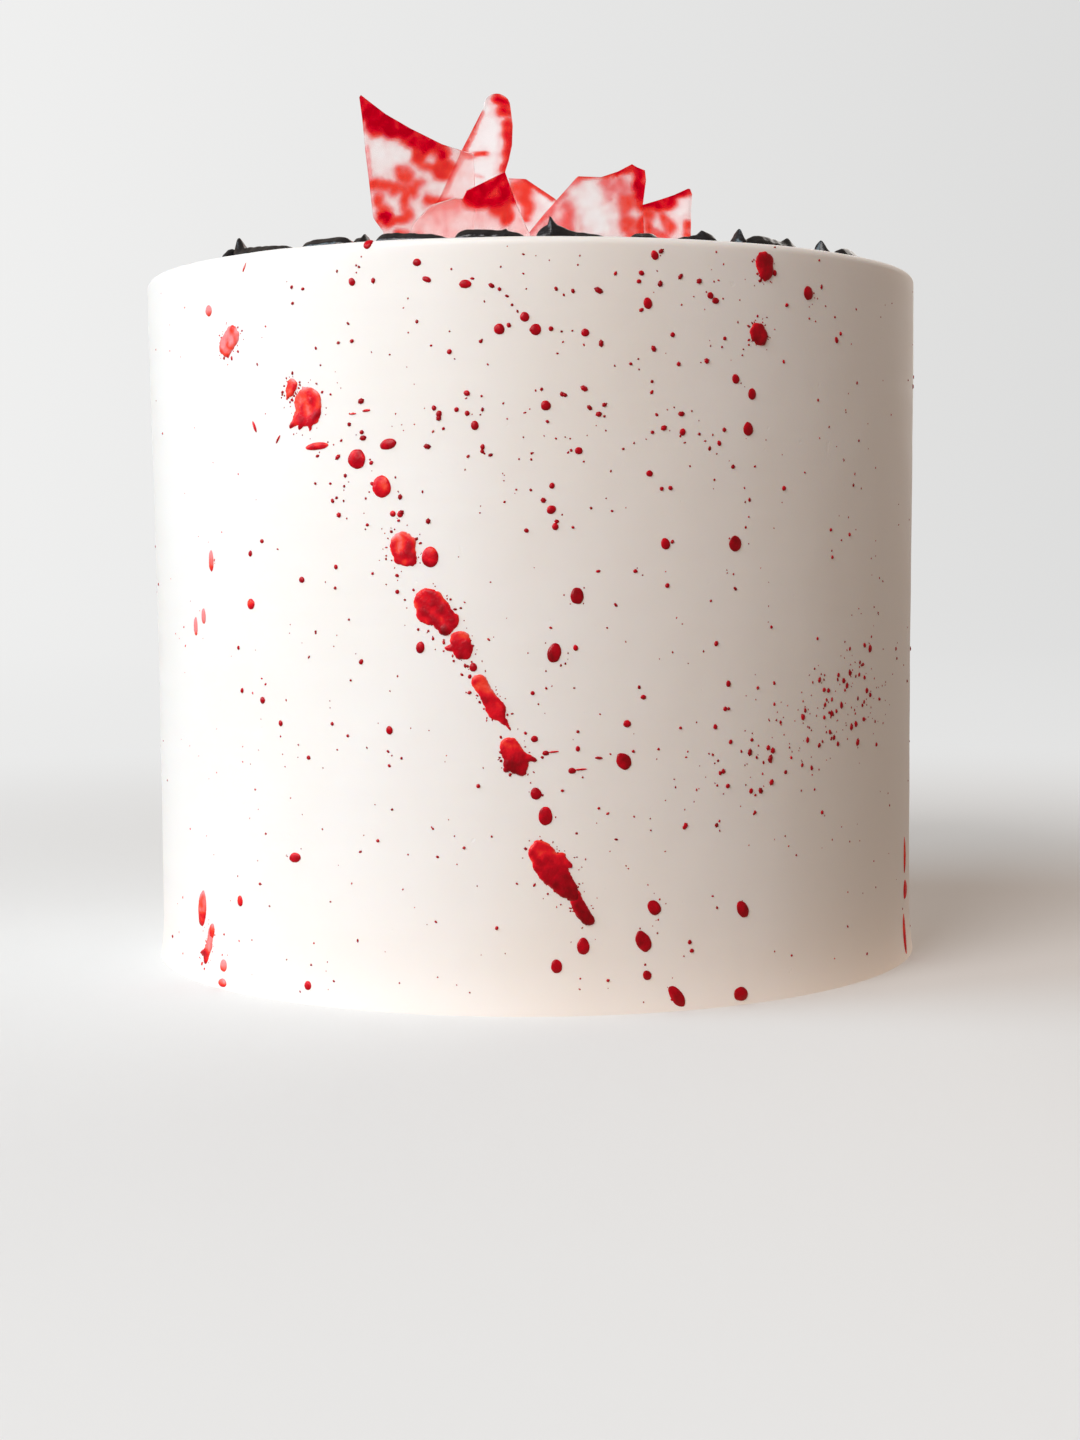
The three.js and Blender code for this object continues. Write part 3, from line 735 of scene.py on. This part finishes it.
def ice_the_cake():
    skin = Skin()
    inner = skin.radius - skin.edge
    section = [(skin.radius * row / FOOT_ROWS, 0) for row in range(FOOT_ROWS)]
    section += [(skin.radius, skin.side * row / SIDE_ROWS) for row in range(SIDE_ROWS)]
    for row in range(EDGE_ROWS):
        tilt = math.pi / 2 * row / EDGE_ROWS
        section.append((inner + skin.edge * math.cos(tilt), skin.side + skin.edge * math.sin(tilt)))
    section += [(inner * (1 - row / TOP_ROWS), skin.tall) for row in range(TOP_ROWS + 1)]
    bm = turned(section, ROUND_THE_CAKE, CLOSE)
    bmesh.ops.recalc_face_normals(bm, faces=bm.faces[:])
    for vert in bm.verts:
        across = math.hypot(vert.co.x, vert.co.y)
        bearing = math.atan2(vert.co.x, -vert.co.y)
        if vert.co.z < CLOSE:
            if across > 1:
                stretch = iced_radius(bearing, 0, skin.radius, skin.tall) / skin.radius
                vert.co.x *= stretch
                vert.co.y *= stretch
        elif vert.co.z < skin.side:
            vert.co = skin.point(bearing, vert.co.z)
        elif across > inner + CLOSE:
            tilt = math.atan2(vert.co.z - skin.side, across - inner)
            vert.co = skin.point(bearing, skin.side + skin.edge * tilt)
        else:
            vert.co = skin.point(bearing, skin.rim + inner - across)
    return finished(bm, "cake_icing", buttercream(), ["iced_cake"], SMOOTH_ANGLE)


def beyond_strand(x, y, strand):
    """How far a place lies outside a strand, which tapers from one end to the other."""
    start, end = strand
    away, share = to_segment(x, y, start, end)
    return away - between((start[2], end[2]), share)


def splat_outline(bearing, strands):
    """How far the strands reach each way round the splat's own place, a little unevenly."""
    points = []
    for i in range(SPLAT_BEARINGS):
        angle = FULL_TURN * i / SPLAT_BEARINGS
        right = math.cos(angle)
        up = math.sin(angle)
        reach = SPLAT_FAR
        while reach > 0.5 and min(beyond_strand(reach * right, reach * up, strand) for strand in strands) > 0:
            reach -= SPLAT_STEP
        reach *= 1 + SPLAT_UNEVEN * noise.noise(Vector((2.6 * right, 2.6 * up, bearing)))
        points.append((reach * right, reach * up))
    return points


def puddle(skin, bearing, height, wash, fall, strands):
    """A splat of gel with a crisp edge and a nearly level, uneven middle."""
    edge = splat_outline(bearing, strands)
    bm = bmesh.new()
    depth = bm.verts.layers.float.new("gel_depth")
    bm.faces.new([bm.verts.new((x, 0, y)) for x, y in edge])
    cut_in_squares(bm, SPLAT_GRID, (0, 2))
    foot = bmesh.ops.extrude_face_region(bm, geom=bm.faces[:])
    tops = {item for item in foot["geom"] if isinstance(item, bmesh.types.BMVert)}
    ups = [y for _, y in edge]
    low, high = min(ups), max(ups)
    turn = math.radians(bearing)
    sides = list(zip(edge, edge[1:] + edge[:1]))
    for vert in bm.verts:
        x, y = vert.co.x, vert.co.z
        inside = min(to_segment(x, y, start, end)[0] for start, end in sides)
        place = Vector((x, y, bearing))
        lower = (high - y) / (high - low)
        full = math.sqrt(1 - (1 - held(inside / SPLAT_EDGE)) ** 2)
        lump = noise.noise(place / SPLAT_LUMP)
        mottled = (0.2 + 0.6 * wash) * lump
        pooled = fall * (lower - 0.5)
        vert[depth] = held(SPLAT_DEPTH - WASH_PALES * wash + pooled + mottled + EDGE_PALES * (full - 0.7))
        x += SPLAT_RAGGED * noise.noise(place / RAGGED_REACH)
        y += SPLAT_RAGGED * noise.noise(place / RAGGED_REACH + Vector((7, 0, 0)))
        if vert in tops:
            rise = SPLAT_RISE * full * (0.8 + 0.45 * lower + 0.35 * lump) * (1 - 0.5 * wash)
            vert.co = skin.beside(turn, height, x, y, rise - SPLAT_SUNK)
        else:
            vert.co = skin.beside(turn, height, x, y, -SPLAT_ROOT)
    bmesh.ops.recalc_face_normals(bm, faces=bm.faces[:])
    return bm


def drop(skin, row, detail, wobble):
    """A single drop of gel: a low dome, fuller towards its lower end, with its root in the icing."""
    bearing, height, width, length, lean, wash = row
    bm = bmesh.new()
    depth = bm.verts.layers.float.new("gel_depth")
    bmesh.ops.create_icosphere(bm, subdivisions=detail, radius=1)
    rise = DROP_RISE + DROP_RISE_WITH_SIZE * min(width, length)
    rise = min(rise, 0.55 * min(width, length))
    root = min(DROP_ROOT, 0.6 * min(width, length))
    turn = math.radians(lean)
    for vert in bm.verts:
        x, y, z = vert.co
        round_it = Vector((x, z)).normalized() if abs(x) + abs(z) > 0.01 else Vector((0, 0))
        ragged = 1 + wobble * noise.noise(Vector((1.6 * round_it.x, 1.6 * round_it.y, bearing + height)))
        fuller = (1 - DROP_SAG * z) * ragged
        across = x * fuller * width / 2
        along = z * ragged * length / 2
        right = across * math.cos(turn) - along * math.sin(turn)
        up = across * math.sin(turn) + along * math.cos(turn)
        outward = -y * (rise * fuller if y < 0 else root)
        lump = noise.noise(Vector((right, up, bearing + height)) / DROP_LUMP)
        mottled = 0.22 * lump * min(width / 3, 1)
        vert[depth] = held(DROP_DEPTH - WASH_PALES * wash - (0.06 + 0.4 * wash) * z + mottled)
        vert.co = skin.beside(math.radians(bearing), height, right, up, outward)
    return bm


def far_drops():
    """The drops flung over the far side, larger towards the middle of a trail."""
    rows = []
    for start, end, count in FAR_TRAILS:
        for i in range(count):
            share = (i + 0.5) / count
            size = between(FAR_DROP_SIZES, math.sin(share * math.pi) * scattered(i + 1, 0.618))
            bearing, height = (
                between((start[k], end[k]), share) + reach * (scattered(i + 1, 0.755 + 0.1 * k) - 0.5)
                for k, reach in enumerate(FAR_DROP_STRAY))
            rows.append((
                bearing, height, size, size * (1 + 0.5 * scattered(i + 1, 0.57)),
                FAR_DROP_LEAN * (scattered(i + 1, 0.41) - 0.5), FAR_DROP_WASH * scattered(i + 1, 0.33)))
    return rows


def droplets(draw):
    """Small round drops scattered through the fields of droplets."""
    rows = []
    for count, bearings, heights, widths in DROPLET_FIELDS:
        for _ in range(count):
            width = between(widths, draw.random() ** 1.6)
            length = width * draw.uniform(0.75, 1.3)
            rows.append((
                draw.uniform(*bearings), draw.uniform(*heights), width, length,
                draw.uniform(-DROPLET_LEAN, DROPLET_LEAN), DROPLET_WASH))
    return rows


def fling_the_gel():
    skin = Skin()
    gel = wet_gel()
    splats = bmesh.new()
    for splat in SPLATS.values():
        gather(splats, puddle(skin, *splat))
    for row in DROPS + far_drops():
        gather(splats, drop(skin, row, 5 if max(row[2:4]) > LONG_DROP else 4, DROP_RAGGED))
    finished(splats, "red_splats", gel)
    drops = bmesh.new()
    for row in [*SMALL_DROPS.values(), *droplets(random.Random(sizes().seed + 1))]:
        gather(drops, drop(skin, row, 3 if max(row[2:4]) > LONG_SMALL_DROP else 2, SMALL_DROP_RAGGED))
    finished(drops, "red_drops", gel)


def satellites(draw):
    """The specks thrown out round each splat and large drop."""
    rows = []
    for bearing, height, _, _, strands in SPLATS.values():
        for x, y in splat_outline(bearing, strands)[::SATELLITE_STEP]:
            for _ in range(draw.choice((0, 1, 1, 2))):
                reach = 1.12 + 0.5 * draw.random() ** 1.6
                size = 0.2 + 0.45 * draw.random() ** 2.5
                right = x * reach + draw.gauss(0, SATELLITE_STRAY)
                up = y * reach + draw.gauss(0, SATELLITE_STRAY)
                lean = math.degrees(math.atan2(x, -y))
                rows.append((bearing, height, right, up, size, size * (1 + draw.random() ** 3), lean))
    for bearing, height, width, length, _, _ in DROPS + far_drops():
        for _ in range(draw.choice((0, 1, 2, 4)) if width + length > 4 else draw.choice((0, 0, 1))):
            angle = draw.uniform(0, FULL_TURN)
            reach = 0.62 + 0.5 * draw.random() ** 1.5
            size = 0.18 + 0.3 * draw.random() ** 2
            rows.append((bearing, height, width * reach * math.cos(angle), length * reach * math.sin(angle),
                         size, size * 1.2, 0))
    return rows


def scattered_specks(draw):
    rows = []
    for count, bearings, alongs, widths in SPECK_FIELDS:
        for _ in range(count):
            size = between(widths, draw.random() ** 2.5)
            stretched = size * (1 + 0.7 * draw.random() ** 2)
            rows.append((draw.uniform(*bearings), draw.uniform(*alongs), 0, 0, size, stretched,
                         draw.uniform(-90, 90)))
    count, middle, spread, climb, widths = MIST
    for _ in range(count):
        right = draw.gauss(0, spread[0])
        up = draw.gauss(0, spread[1])
        size = between(widths, draw.random() ** 3)
        rows.append((
            middle[0] + right, middle[1] + up + climb * right, 0, 0, size, size * draw.uniform(1, 1.5),
            draw.uniform(-MIST_LEAN, MIST_LEAN)))
    return rows


def mist_the_specks():
    """All the small specks: twenty faces each, and deep red."""
    skin = Skin()
    draw = random.Random(sizes().seed)
    bm = bmesh.new()
    depth = bm.verts.layers.float.new("gel_depth")
    for bearing, along, right, up, width, length, lean in satellites(draw) + scattered_specks(draw):
        if along + up < LOWEST_SPECK:
            continue
        made = bmesh.ops.create_icosphere(bm, subdivisions=1, radius=1)
        turn = math.radians(lean)
        paler = held((-bearing - SPECKS_PALE_FROM) / SPECKS_PALE_OVER)
        darkness = draw.uniform(*SPECK_DEPTH) - SPECKS_PALER * paler
        for vert in made["verts"]:
            x, y, z = vert.co
            across = x * width / 2
            upward = z * length / 2
            vert[depth] = darkness
            vert.co = skin.beside(
                math.radians(bearing), along,
                right + across * math.cos(turn) - upward * math.sin(turn),
                up + across * math.sin(turn) + upward * math.cos(turn),
                -y * width * SPECK_RISE)
    finished(bm, "red_specks", bpy.data.materials["wet_red_gel"])


def far_strokes():
    """The strokes of the far part of the ring, of uneven length and height."""
    pitch = (FAR_STROKES_TO - FAR_STROKES_FROM) / FAR_STROKES
    rows = []
    for i in range(FAR_STROKES):
        start = FAR_STROKES_FROM + pitch * i + 2 * scattered(i + 1, 0.381)
        end = start + pitch * (0.62 + 0.22 * scattered(i + 1, 0.618))
        tips = []
        if scattered(i + 1, 0.618) > 0.4:
            tips.append((0.12 + 0.6 * scattered(i + 1, 0.73), 0.8 + scattered(i + 1, 0.27), 0.14, -0.2))
        rows.append((start, end, 2.3 + 0.9 * scattered(i + 1, 0.55), 0.6 * scattered(i + 1, 0.29), tips))
    return rows


def piped_stroke(row, index):
    """One stroke: a rounded bead on a flat foot, with the nozzle's ridges and its pulled-off tips."""
    start, end, height, taper, tips = row
    ring = sizes().ring_radius / MM
    width = sizes().stroke_width / MM
    tall = sizes().height / MM
    bm = bmesh.new()
    bmesh.ops.create_uvsphere(bm, u_segments=STROKE_ROUND, v_segments=STROKE_ALONG, radius=1)
    foot = math.sin(STROKE_UNDERCUT)
    sweep = (math.pi + 2 * STROKE_UNDERCUT) * STROKE_ROUND / (STROKE_ROUND - 1)
    middle = math.radians((start + end) / 2)
    half_arc = math.radians(end - start) / 2
    for vert in bm.verts:
        place = (1 - vert.co.z) / 2
        column = round((math.atan2(vert.co.y, vert.co.x) / FULL_TURN % 1) * STROKE_ROUND) % STROKE_ROUND
        angle = column / STROKE_ROUND * sweep - STROKE_UNDERCUT
        blunt = math.sqrt(max(0, 1 - abs(2 * place - 1) ** STROKE_BLUNT))
        size = blunt * (1 - (taper * place if taper > 0 else -taper * (1 - place)))
        wander = noise.noise(Vector((place * (end - start) * 0.9, math.cos(angle), index * 3.7)))
        ridge = 1 + STROKE_RIDGE * math.sin(STROKE_RIDGES * angle) + STROKE_WANDER * wander
        up = height * size * (math.sin(angle) + foot) / (1 + foot)
        shift = 0
        for tip, extra, reach, lean in tips:
            near = max(0, 1 - abs(place - tip) / reach)
            drawn = extra * near ** 1.5 * max(0, math.sin(angle)) ** 2 * min(1, blunt * 2)
            up += drawn
            shift += lean * drawn / ring * 2
        across = ring + width / 2 * size * math.cos(angle) * ridge
        bearing = middle + (2 * place - 1) * half_arc + shift
        top = tall + min(up * ridge, up + STROKE_SUNK) - STROKE_SUNK
        vert.co = (across * math.sin(bearing), -across * math.cos(bearing), top)
    bmesh.ops.recalc_face_normals(bm, faces=bm.faces[:])
    return bm


def pipe_the_strokes():
    material = black_piping()
    for index, row in enumerate(FRONT_STROKES + far_strokes()):
        number = f"{index + 1:02d}"
        finished(piped_stroke(row, index), f"piping_{number}", material,
                 [f"piped_stroke_{number}"])


def corner_or_tip(corner):
    """A corner of a shard, or a half-round tip where it has a radius too."""
    if len(corner) == 2:
        return [corner]
    x, y, radius = corner
    angles = [math.pi * step / TIP_STEPS for step in range(TIP_STEPS + 1)]
    return [(x + radius * math.cos(angle), y + radius * math.sin(angle)) for angle in angles]


def stain_at(shard, index, u, v):
    """How deep the stain is at a place on a shard."""
    place = Vector((u / STAIN_BROAD, v / STAIN_BROAD, index * 5.3))
    fine = Vector((u / STAIN_FINE, v / STAIN_FINE, index * 5.3))
    shift = Vector((9, 0, 0))
    stray_u = STAIN_STRAY * noise.noise(place) + STAIN_FINE_STRAY * noise.noise(fine)
    stray_v = STAIN_STRAY * noise.noise(place + shift) + STAIN_FINE_STRAY * noise.noise(fine + shift)
    patchy = 1 + STAIN_PATCHY * noise.noise(place * 1.7)
    depth = shard["wash"] * (1 + 0.8 * noise.noise(place * 0.8) + 0.7 * noise.noise(fine * 0.6))
    for start, end, reach, strength in shard["stains"]:
        loose = held(reach)
        away, _ = to_segment(u + loose * stray_u, v + loose * stray_v, start, end)
        edge = held(1.7 * reach, 0.5, STAIN_EDGE)
        halo = STAIN_HALO * loose * smooth(0.5 + (reach + HALO_REACH * loose - away) / HALO_EDGE)
        dab = strength * patchy * smooth(0.5 + (reach + 0.12 * edge - away) / edge)
        depth = max(depth, halo * patchy, dab)
    for middle, reach in shard["clear"]:
        away = math.hypot(u + stray_u - middle[0], v + stray_v - middle[1])
        depth *= 1 - 0.8 * smooth(0.5 + (reach - away) / STAIN_EDGE)
    return depth


def sugar_shard(shard, index):
    left, right = shard["foot"]
    corners = [(right, 0)]
    for corner in shard["outline"]:
        corners += corner_or_tip(corner)
    corners += [(left, 0), (left + SLOT_TAPER, -SLOT_DEPTH), (right - SLOT_TAPER, -SLOT_DEPTH)]
    thick = shard["thickness"]
    bm = bmesh.new()
    stain = bm.verts.layers.float.new("stain")
    bm.faces.new([bm.verts.new((u, -thick / 2, v)) for u, v in corners])
    made = bmesh.ops.extrude_face_region(bm, geom=bm.faces[:])
    bmesh.ops.translate(
        bm, verts=[item for item in made["geom"] if isinstance(item, bmesh.types.BMVert)], vec=(0, thick, 0))
    bmesh.ops.recalc_face_normals(bm, faces=bm.faces[:])
    rims = [edge for edge in bm.edges if abs(edge.verts[0].co.y - edge.verts[1].co.y) < 1e-4]
    bmesh.ops.bevel(
        bm, geom=rims, offset=sizes().shard_edge / MM, offset_type="OFFSET", affect="EDGES", segments=2,
        profile=0.5, material=-1, clamp_overlap=True)
    cut_in_squares(bm, SHARD_GRID, (0, 2))
    for vert in bm.verts:
        u, v = vert.co.x, vert.co.z
        vert[stain] = stain_at(shard, index, u, v)
        broad = Vector((u / SHARD_WARP_REACH, v / SHARD_WARP_REACH, index * 2.9))
        vert.co.y += SHARD_WARP * noise.noise(broad)
    lean = Matrix.Rotation(math.radians(shard["lean"]), 3, "X")
    turn = Matrix.Rotation(math.radians(shard["turn"]), 3, "Z")
    foot = Vector((*shard["place"], sizes().height / MM))
    bmesh.ops.rotate(bm, verts=bm.verts[:], cent=(0, 0, 0), matrix=turn @ lean)
    bmesh.ops.translate(bm, verts=bm.verts[:], vec=foot)
    return bm


def stand_the_shards():
    material = stained_sugar()
    for index, shard in enumerate(SHARDS):
        finished(sugar_shard(shard, index), f"glass_shard_{index + 1}", material,
                 [f"sugar_shard_{index + 1}"], SMOOTH_ANGLE)


# The stage

FLOOR_RADIUS = 1.4
FLOOR_BEND = 0.4
WALL_HEIGHT = 2.2
ROUND_THE_FLOOR = 96
LIGHT_DISTANCE = 1.5
LIGHTS_MEET_AT = 0.07
# Each light: bearing and elevation in degrees, size, power and colour.
LIGHTS = {
    "window_light": (-35, 30, 1.0, 15.2, (1.0, 0.985, 0.985)),
    "side_window_light": (-80, 25, 1.0, 13, (0.66, 0.87, 1.0)),
    "back_glow": (150, 25, 1.2, 5.5, (1.0, 0.96, 0.92)),
}
ROOM_LIGHT = (0.318, 0.256, 0.214)
# The warm light thrown up from below at the foot of the cake: diameter, power, colour and place.
FOOT_BOUNCE = (0.202, 0.038, (1.0, 0.7, 0.5), (-0.012, 0, -0.0005))
# How far from the axis the floor starts and ends its fade to the glowing backdrop.
BACKDROP_FADE = (0.12, 0.5)
# How far across the glowing backdrop its painted light falls off from bright to dim, and how bright each side
# is.
BACKDROP_PAINTED_FALLOFF = (-0.55, 0.55, 1.05, 0.87)
CAMERA_PLACE = (0, -0.47331, 0.08334)
CAMERA_LENS = 55.93
CAMERA_PITCH = 4.381
CAMERA_ROLL = 0.431
CAMERA_YAW = 0.118
CAMERA_SENSOR = 36


def backdrop_material():
    """A pale floor that takes soft shadows near the cake, and fades away from it to a glowing backdrop with
    painted light, brighter on the left than on the right.
    """
    material = bpy.data.materials.new("pale_backdrop")
    material.use_nodes = True
    tree = material.node_tree
    tree.nodes.clear()
    place = add(tree, "ShaderNodeTexCoord").outputs["Object"]
    apart = add(tree, "ShaderNodeVectorMath", {0: place}, operation="LENGTH").outputs["Value"]
    near, far = BACKDROP_FADE
    fade = add(
        tree, "ShaderNodeMapRange", {"Value": apart, "From Min": near, "From Max": far},
        interpolation_type="SMOOTHSTEP")
    sideways = add(tree, "ShaderNodeSeparateXYZ", {0: place}).outputs["X"]
    # Painted light on the glowing backdrop: it shines brighter on the left than on the right.
    left, right, bright, dim = BACKDROP_PAINTED_FALLOFF
    across = add(tree, "ShaderNodeMapRange", {
        "Value": sideways, "From Min": left, "From Max": right, "To Min": bright, "To Max": dim})
    colour = (*looks().backdrop, 1)
    matte = add(tree, "ShaderNodeBsdfDiffuse", {"Color": colour})
    even = add(tree, "ShaderNodeEmission", {"Color": colour, "Strength": across.outputs["Result"]})
    blend = add(tree, "ShaderNodeMixShader", {
        0: fade.outputs["Result"], 1: matte.outputs[0], 2: even.outputs[0]})
    add(tree, "ShaderNodeOutputMaterial", {"Surface": blend.outputs[0]})
    return material


def disk_light(name, size, power, colour, place, towards):
    data = bpy.data.lights.new(name, "AREA")
    data.shape = "DISK"
    data.size = size
    data.energy = power
    data.color = colour
    lamp = placed(name, data)
    lamp.location = place
    lamp.rotation_euler = towards.to_track_quat("-Z", "Y").to_euler()
    lamp.visible_camera = False


def soft_light(name, bearing, elevation, size, power, colour):
    """A light round the cake, aimed at the middle of it."""
    middle = Vector((0, 0, LIGHTS_MEET_AT))
    aim = Euler((0, math.radians(-elevation), math.radians(bearing - 90))).to_matrix() @ Vector((1, 0, 0))
    disk_light(name, size, power, colour, middle + LIGHT_DISTANCE * aim, -aim)


def set_the_stage():
    scene = bpy.context.scene
    section = [(0, 0), (0.3, 0), (0.7, 0), (FLOOR_RADIUS, 0)]
    section += [(FLOOR_RADIUS + FLOOR_BEND * math.sin(turn), FLOOR_BEND * (1 - math.cos(turn)))
                for turn in (math.pi / 8, math.pi / 4, 3 * math.pi / 8, math.pi / 2)]
    section.append((FLOOR_RADIUS + FLOOR_BEND, WALL_HEIGHT))
    bm = turned(section, ROUND_THE_FLOOR, 0.1 * MM)
    sweep = smooth_piece(bm, "pale_sweep", backdrop_material())
    sweep.visible_diffuse = False
    sweep.visible_glossy = False
    sweep.visible_shadow = False
    for name, light in LIGHTS.items():
        soft_light(name, *light)
    disk_light("foot_bounce", *FOOT_BOUNCE, Vector((0, 0, 1)))
    world = bpy.data.worlds.new("room")
    world.use_nodes = True
    feed(world.node_tree.nodes["Background"], {"Color": (*ROOM_LIGHT, 1)})
    scene.world = world
    data = bpy.data.cameras.new("camera")
    data.lens = CAMERA_LENS
    data.sensor_width = CAMERA_SENSOR
    camera = placed("camera", data)
    camera.location = CAMERA_PLACE
    roll = Matrix.Rotation(math.radians(-CAMERA_ROLL), 3, "Z")
    pitch = Matrix.Rotation(math.radians(90 - CAMERA_PITCH), 3, "X")
    yaw = Matrix.Rotation(math.radians(-CAMERA_YAW), 3, "Z")
    camera.rotation_euler = (yaw @ pitch @ roll).to_euler()
    scene.camera = camera
    scene.view_settings.view_transform = "Standard"


class CAKE_OT_ice(bpy.types.Operator):
    """Close the cake in smooth buttercream"""

    bl_idname = "layer_cake.ice"
    bl_label = "Ice the cake"

    def execute(self, context):
        ice_the_cake()
        return {"FINISHED"}


class CAKE_OT_fling(bpy.types.Operator):
    """Fling the large splats and the drops of red gel at the cake"""

    bl_idname = "layer_cake.fling"
    bl_label = "Fling the gel"

    def execute(self, context):
        fling_the_gel()
        return {"FINISHED"}


class CAKE_OT_mist(bpy.types.Operator):
    """Mist the cake with small specks of red gel"""

    bl_idname = "layer_cake.mist"
    bl_label = "Mist the specks"

    def execute(self, context):
        mist_the_specks()
        return {"FINISHED"}


class CAKE_OT_pipe(bpy.types.Operator):
    """Pipe the broken ring of black strokes"""

    bl_idname = "layer_cake.pipe"
    bl_label = "Pipe the strokes"

    def execute(self, context):
        pipe_the_strokes()
        return {"FINISHED"}


class CAKE_OT_shards(bpy.types.Operator):
    """Stand the stained shards of sugar glass in the top"""

    bl_idname = "layer_cake.shards"
    bl_label = "Stand the shards"

    def execute(self, context):
        stand_the_shards()
        return {"FINISHED"}


class CAKE_OT_stage(bpy.types.Operator):
    """Set the pale stage, the soft lights and the camera"""

    bl_idname = "layer_cake.stage"
    bl_label = "Set the stage"

    def execute(self, context):
        set_the_stage()
        return {"FINISHED"}


class CAKE_PT_sidebar(bpy.types.Panel):
    bl_idname = "CAKE_PT_sidebar"
    bl_label = "Layer cake"
    bl_space_type = "VIEW_3D"
    bl_region_type = "UI"
    bl_category = "Layer cake"

    def draw(self, context):
        column = self.layout.column()
        for group in (context.scene.layer_cake_sizes, context.scene.layer_cake_looks):
            for key in group.bl_rna.properties.keys():
                if key not in {"rna_type", "name"}:
                    column.prop(group, key)
        for operator in OPERATORS:
            column.operator(operator.bl_idname)


OPERATORS = [CAKE_OT_stage, CAKE_OT_ice, CAKE_OT_fling, CAKE_OT_mist, CAKE_OT_pipe, CAKE_OT_shards]
CLASSES = [LayerCakeSizes, LayerCakeLooks, *OPERATORS, CAKE_PT_sidebar]


def register():
    for made in CLASSES:
        bpy.utils.register_class(made)
    bpy.types.Scene.layer_cake_sizes = PointerProperty(type=LayerCakeSizes)
    bpy.types.Scene.layer_cake_looks = PointerProperty(type=LayerCakeLooks)


def unregister():
    del bpy.types.Scene.layer_cake_looks
    del bpy.types.Scene.layer_cake_sizes
    for made in reversed(CLASSES):
        bpy.utils.unregister_class(made)


def main():
    register()
    bpy.ops.layer_cake.stage()
    bpy.ops.layer_cake.ice()
    bpy.ops.layer_cake.fling()
    bpy.ops.layer_cake.mist()
    bpy.ops.layer_cake.pipe()
    bpy.ops.layer_cake.shards()


if __name__ == "__main__":
    main()
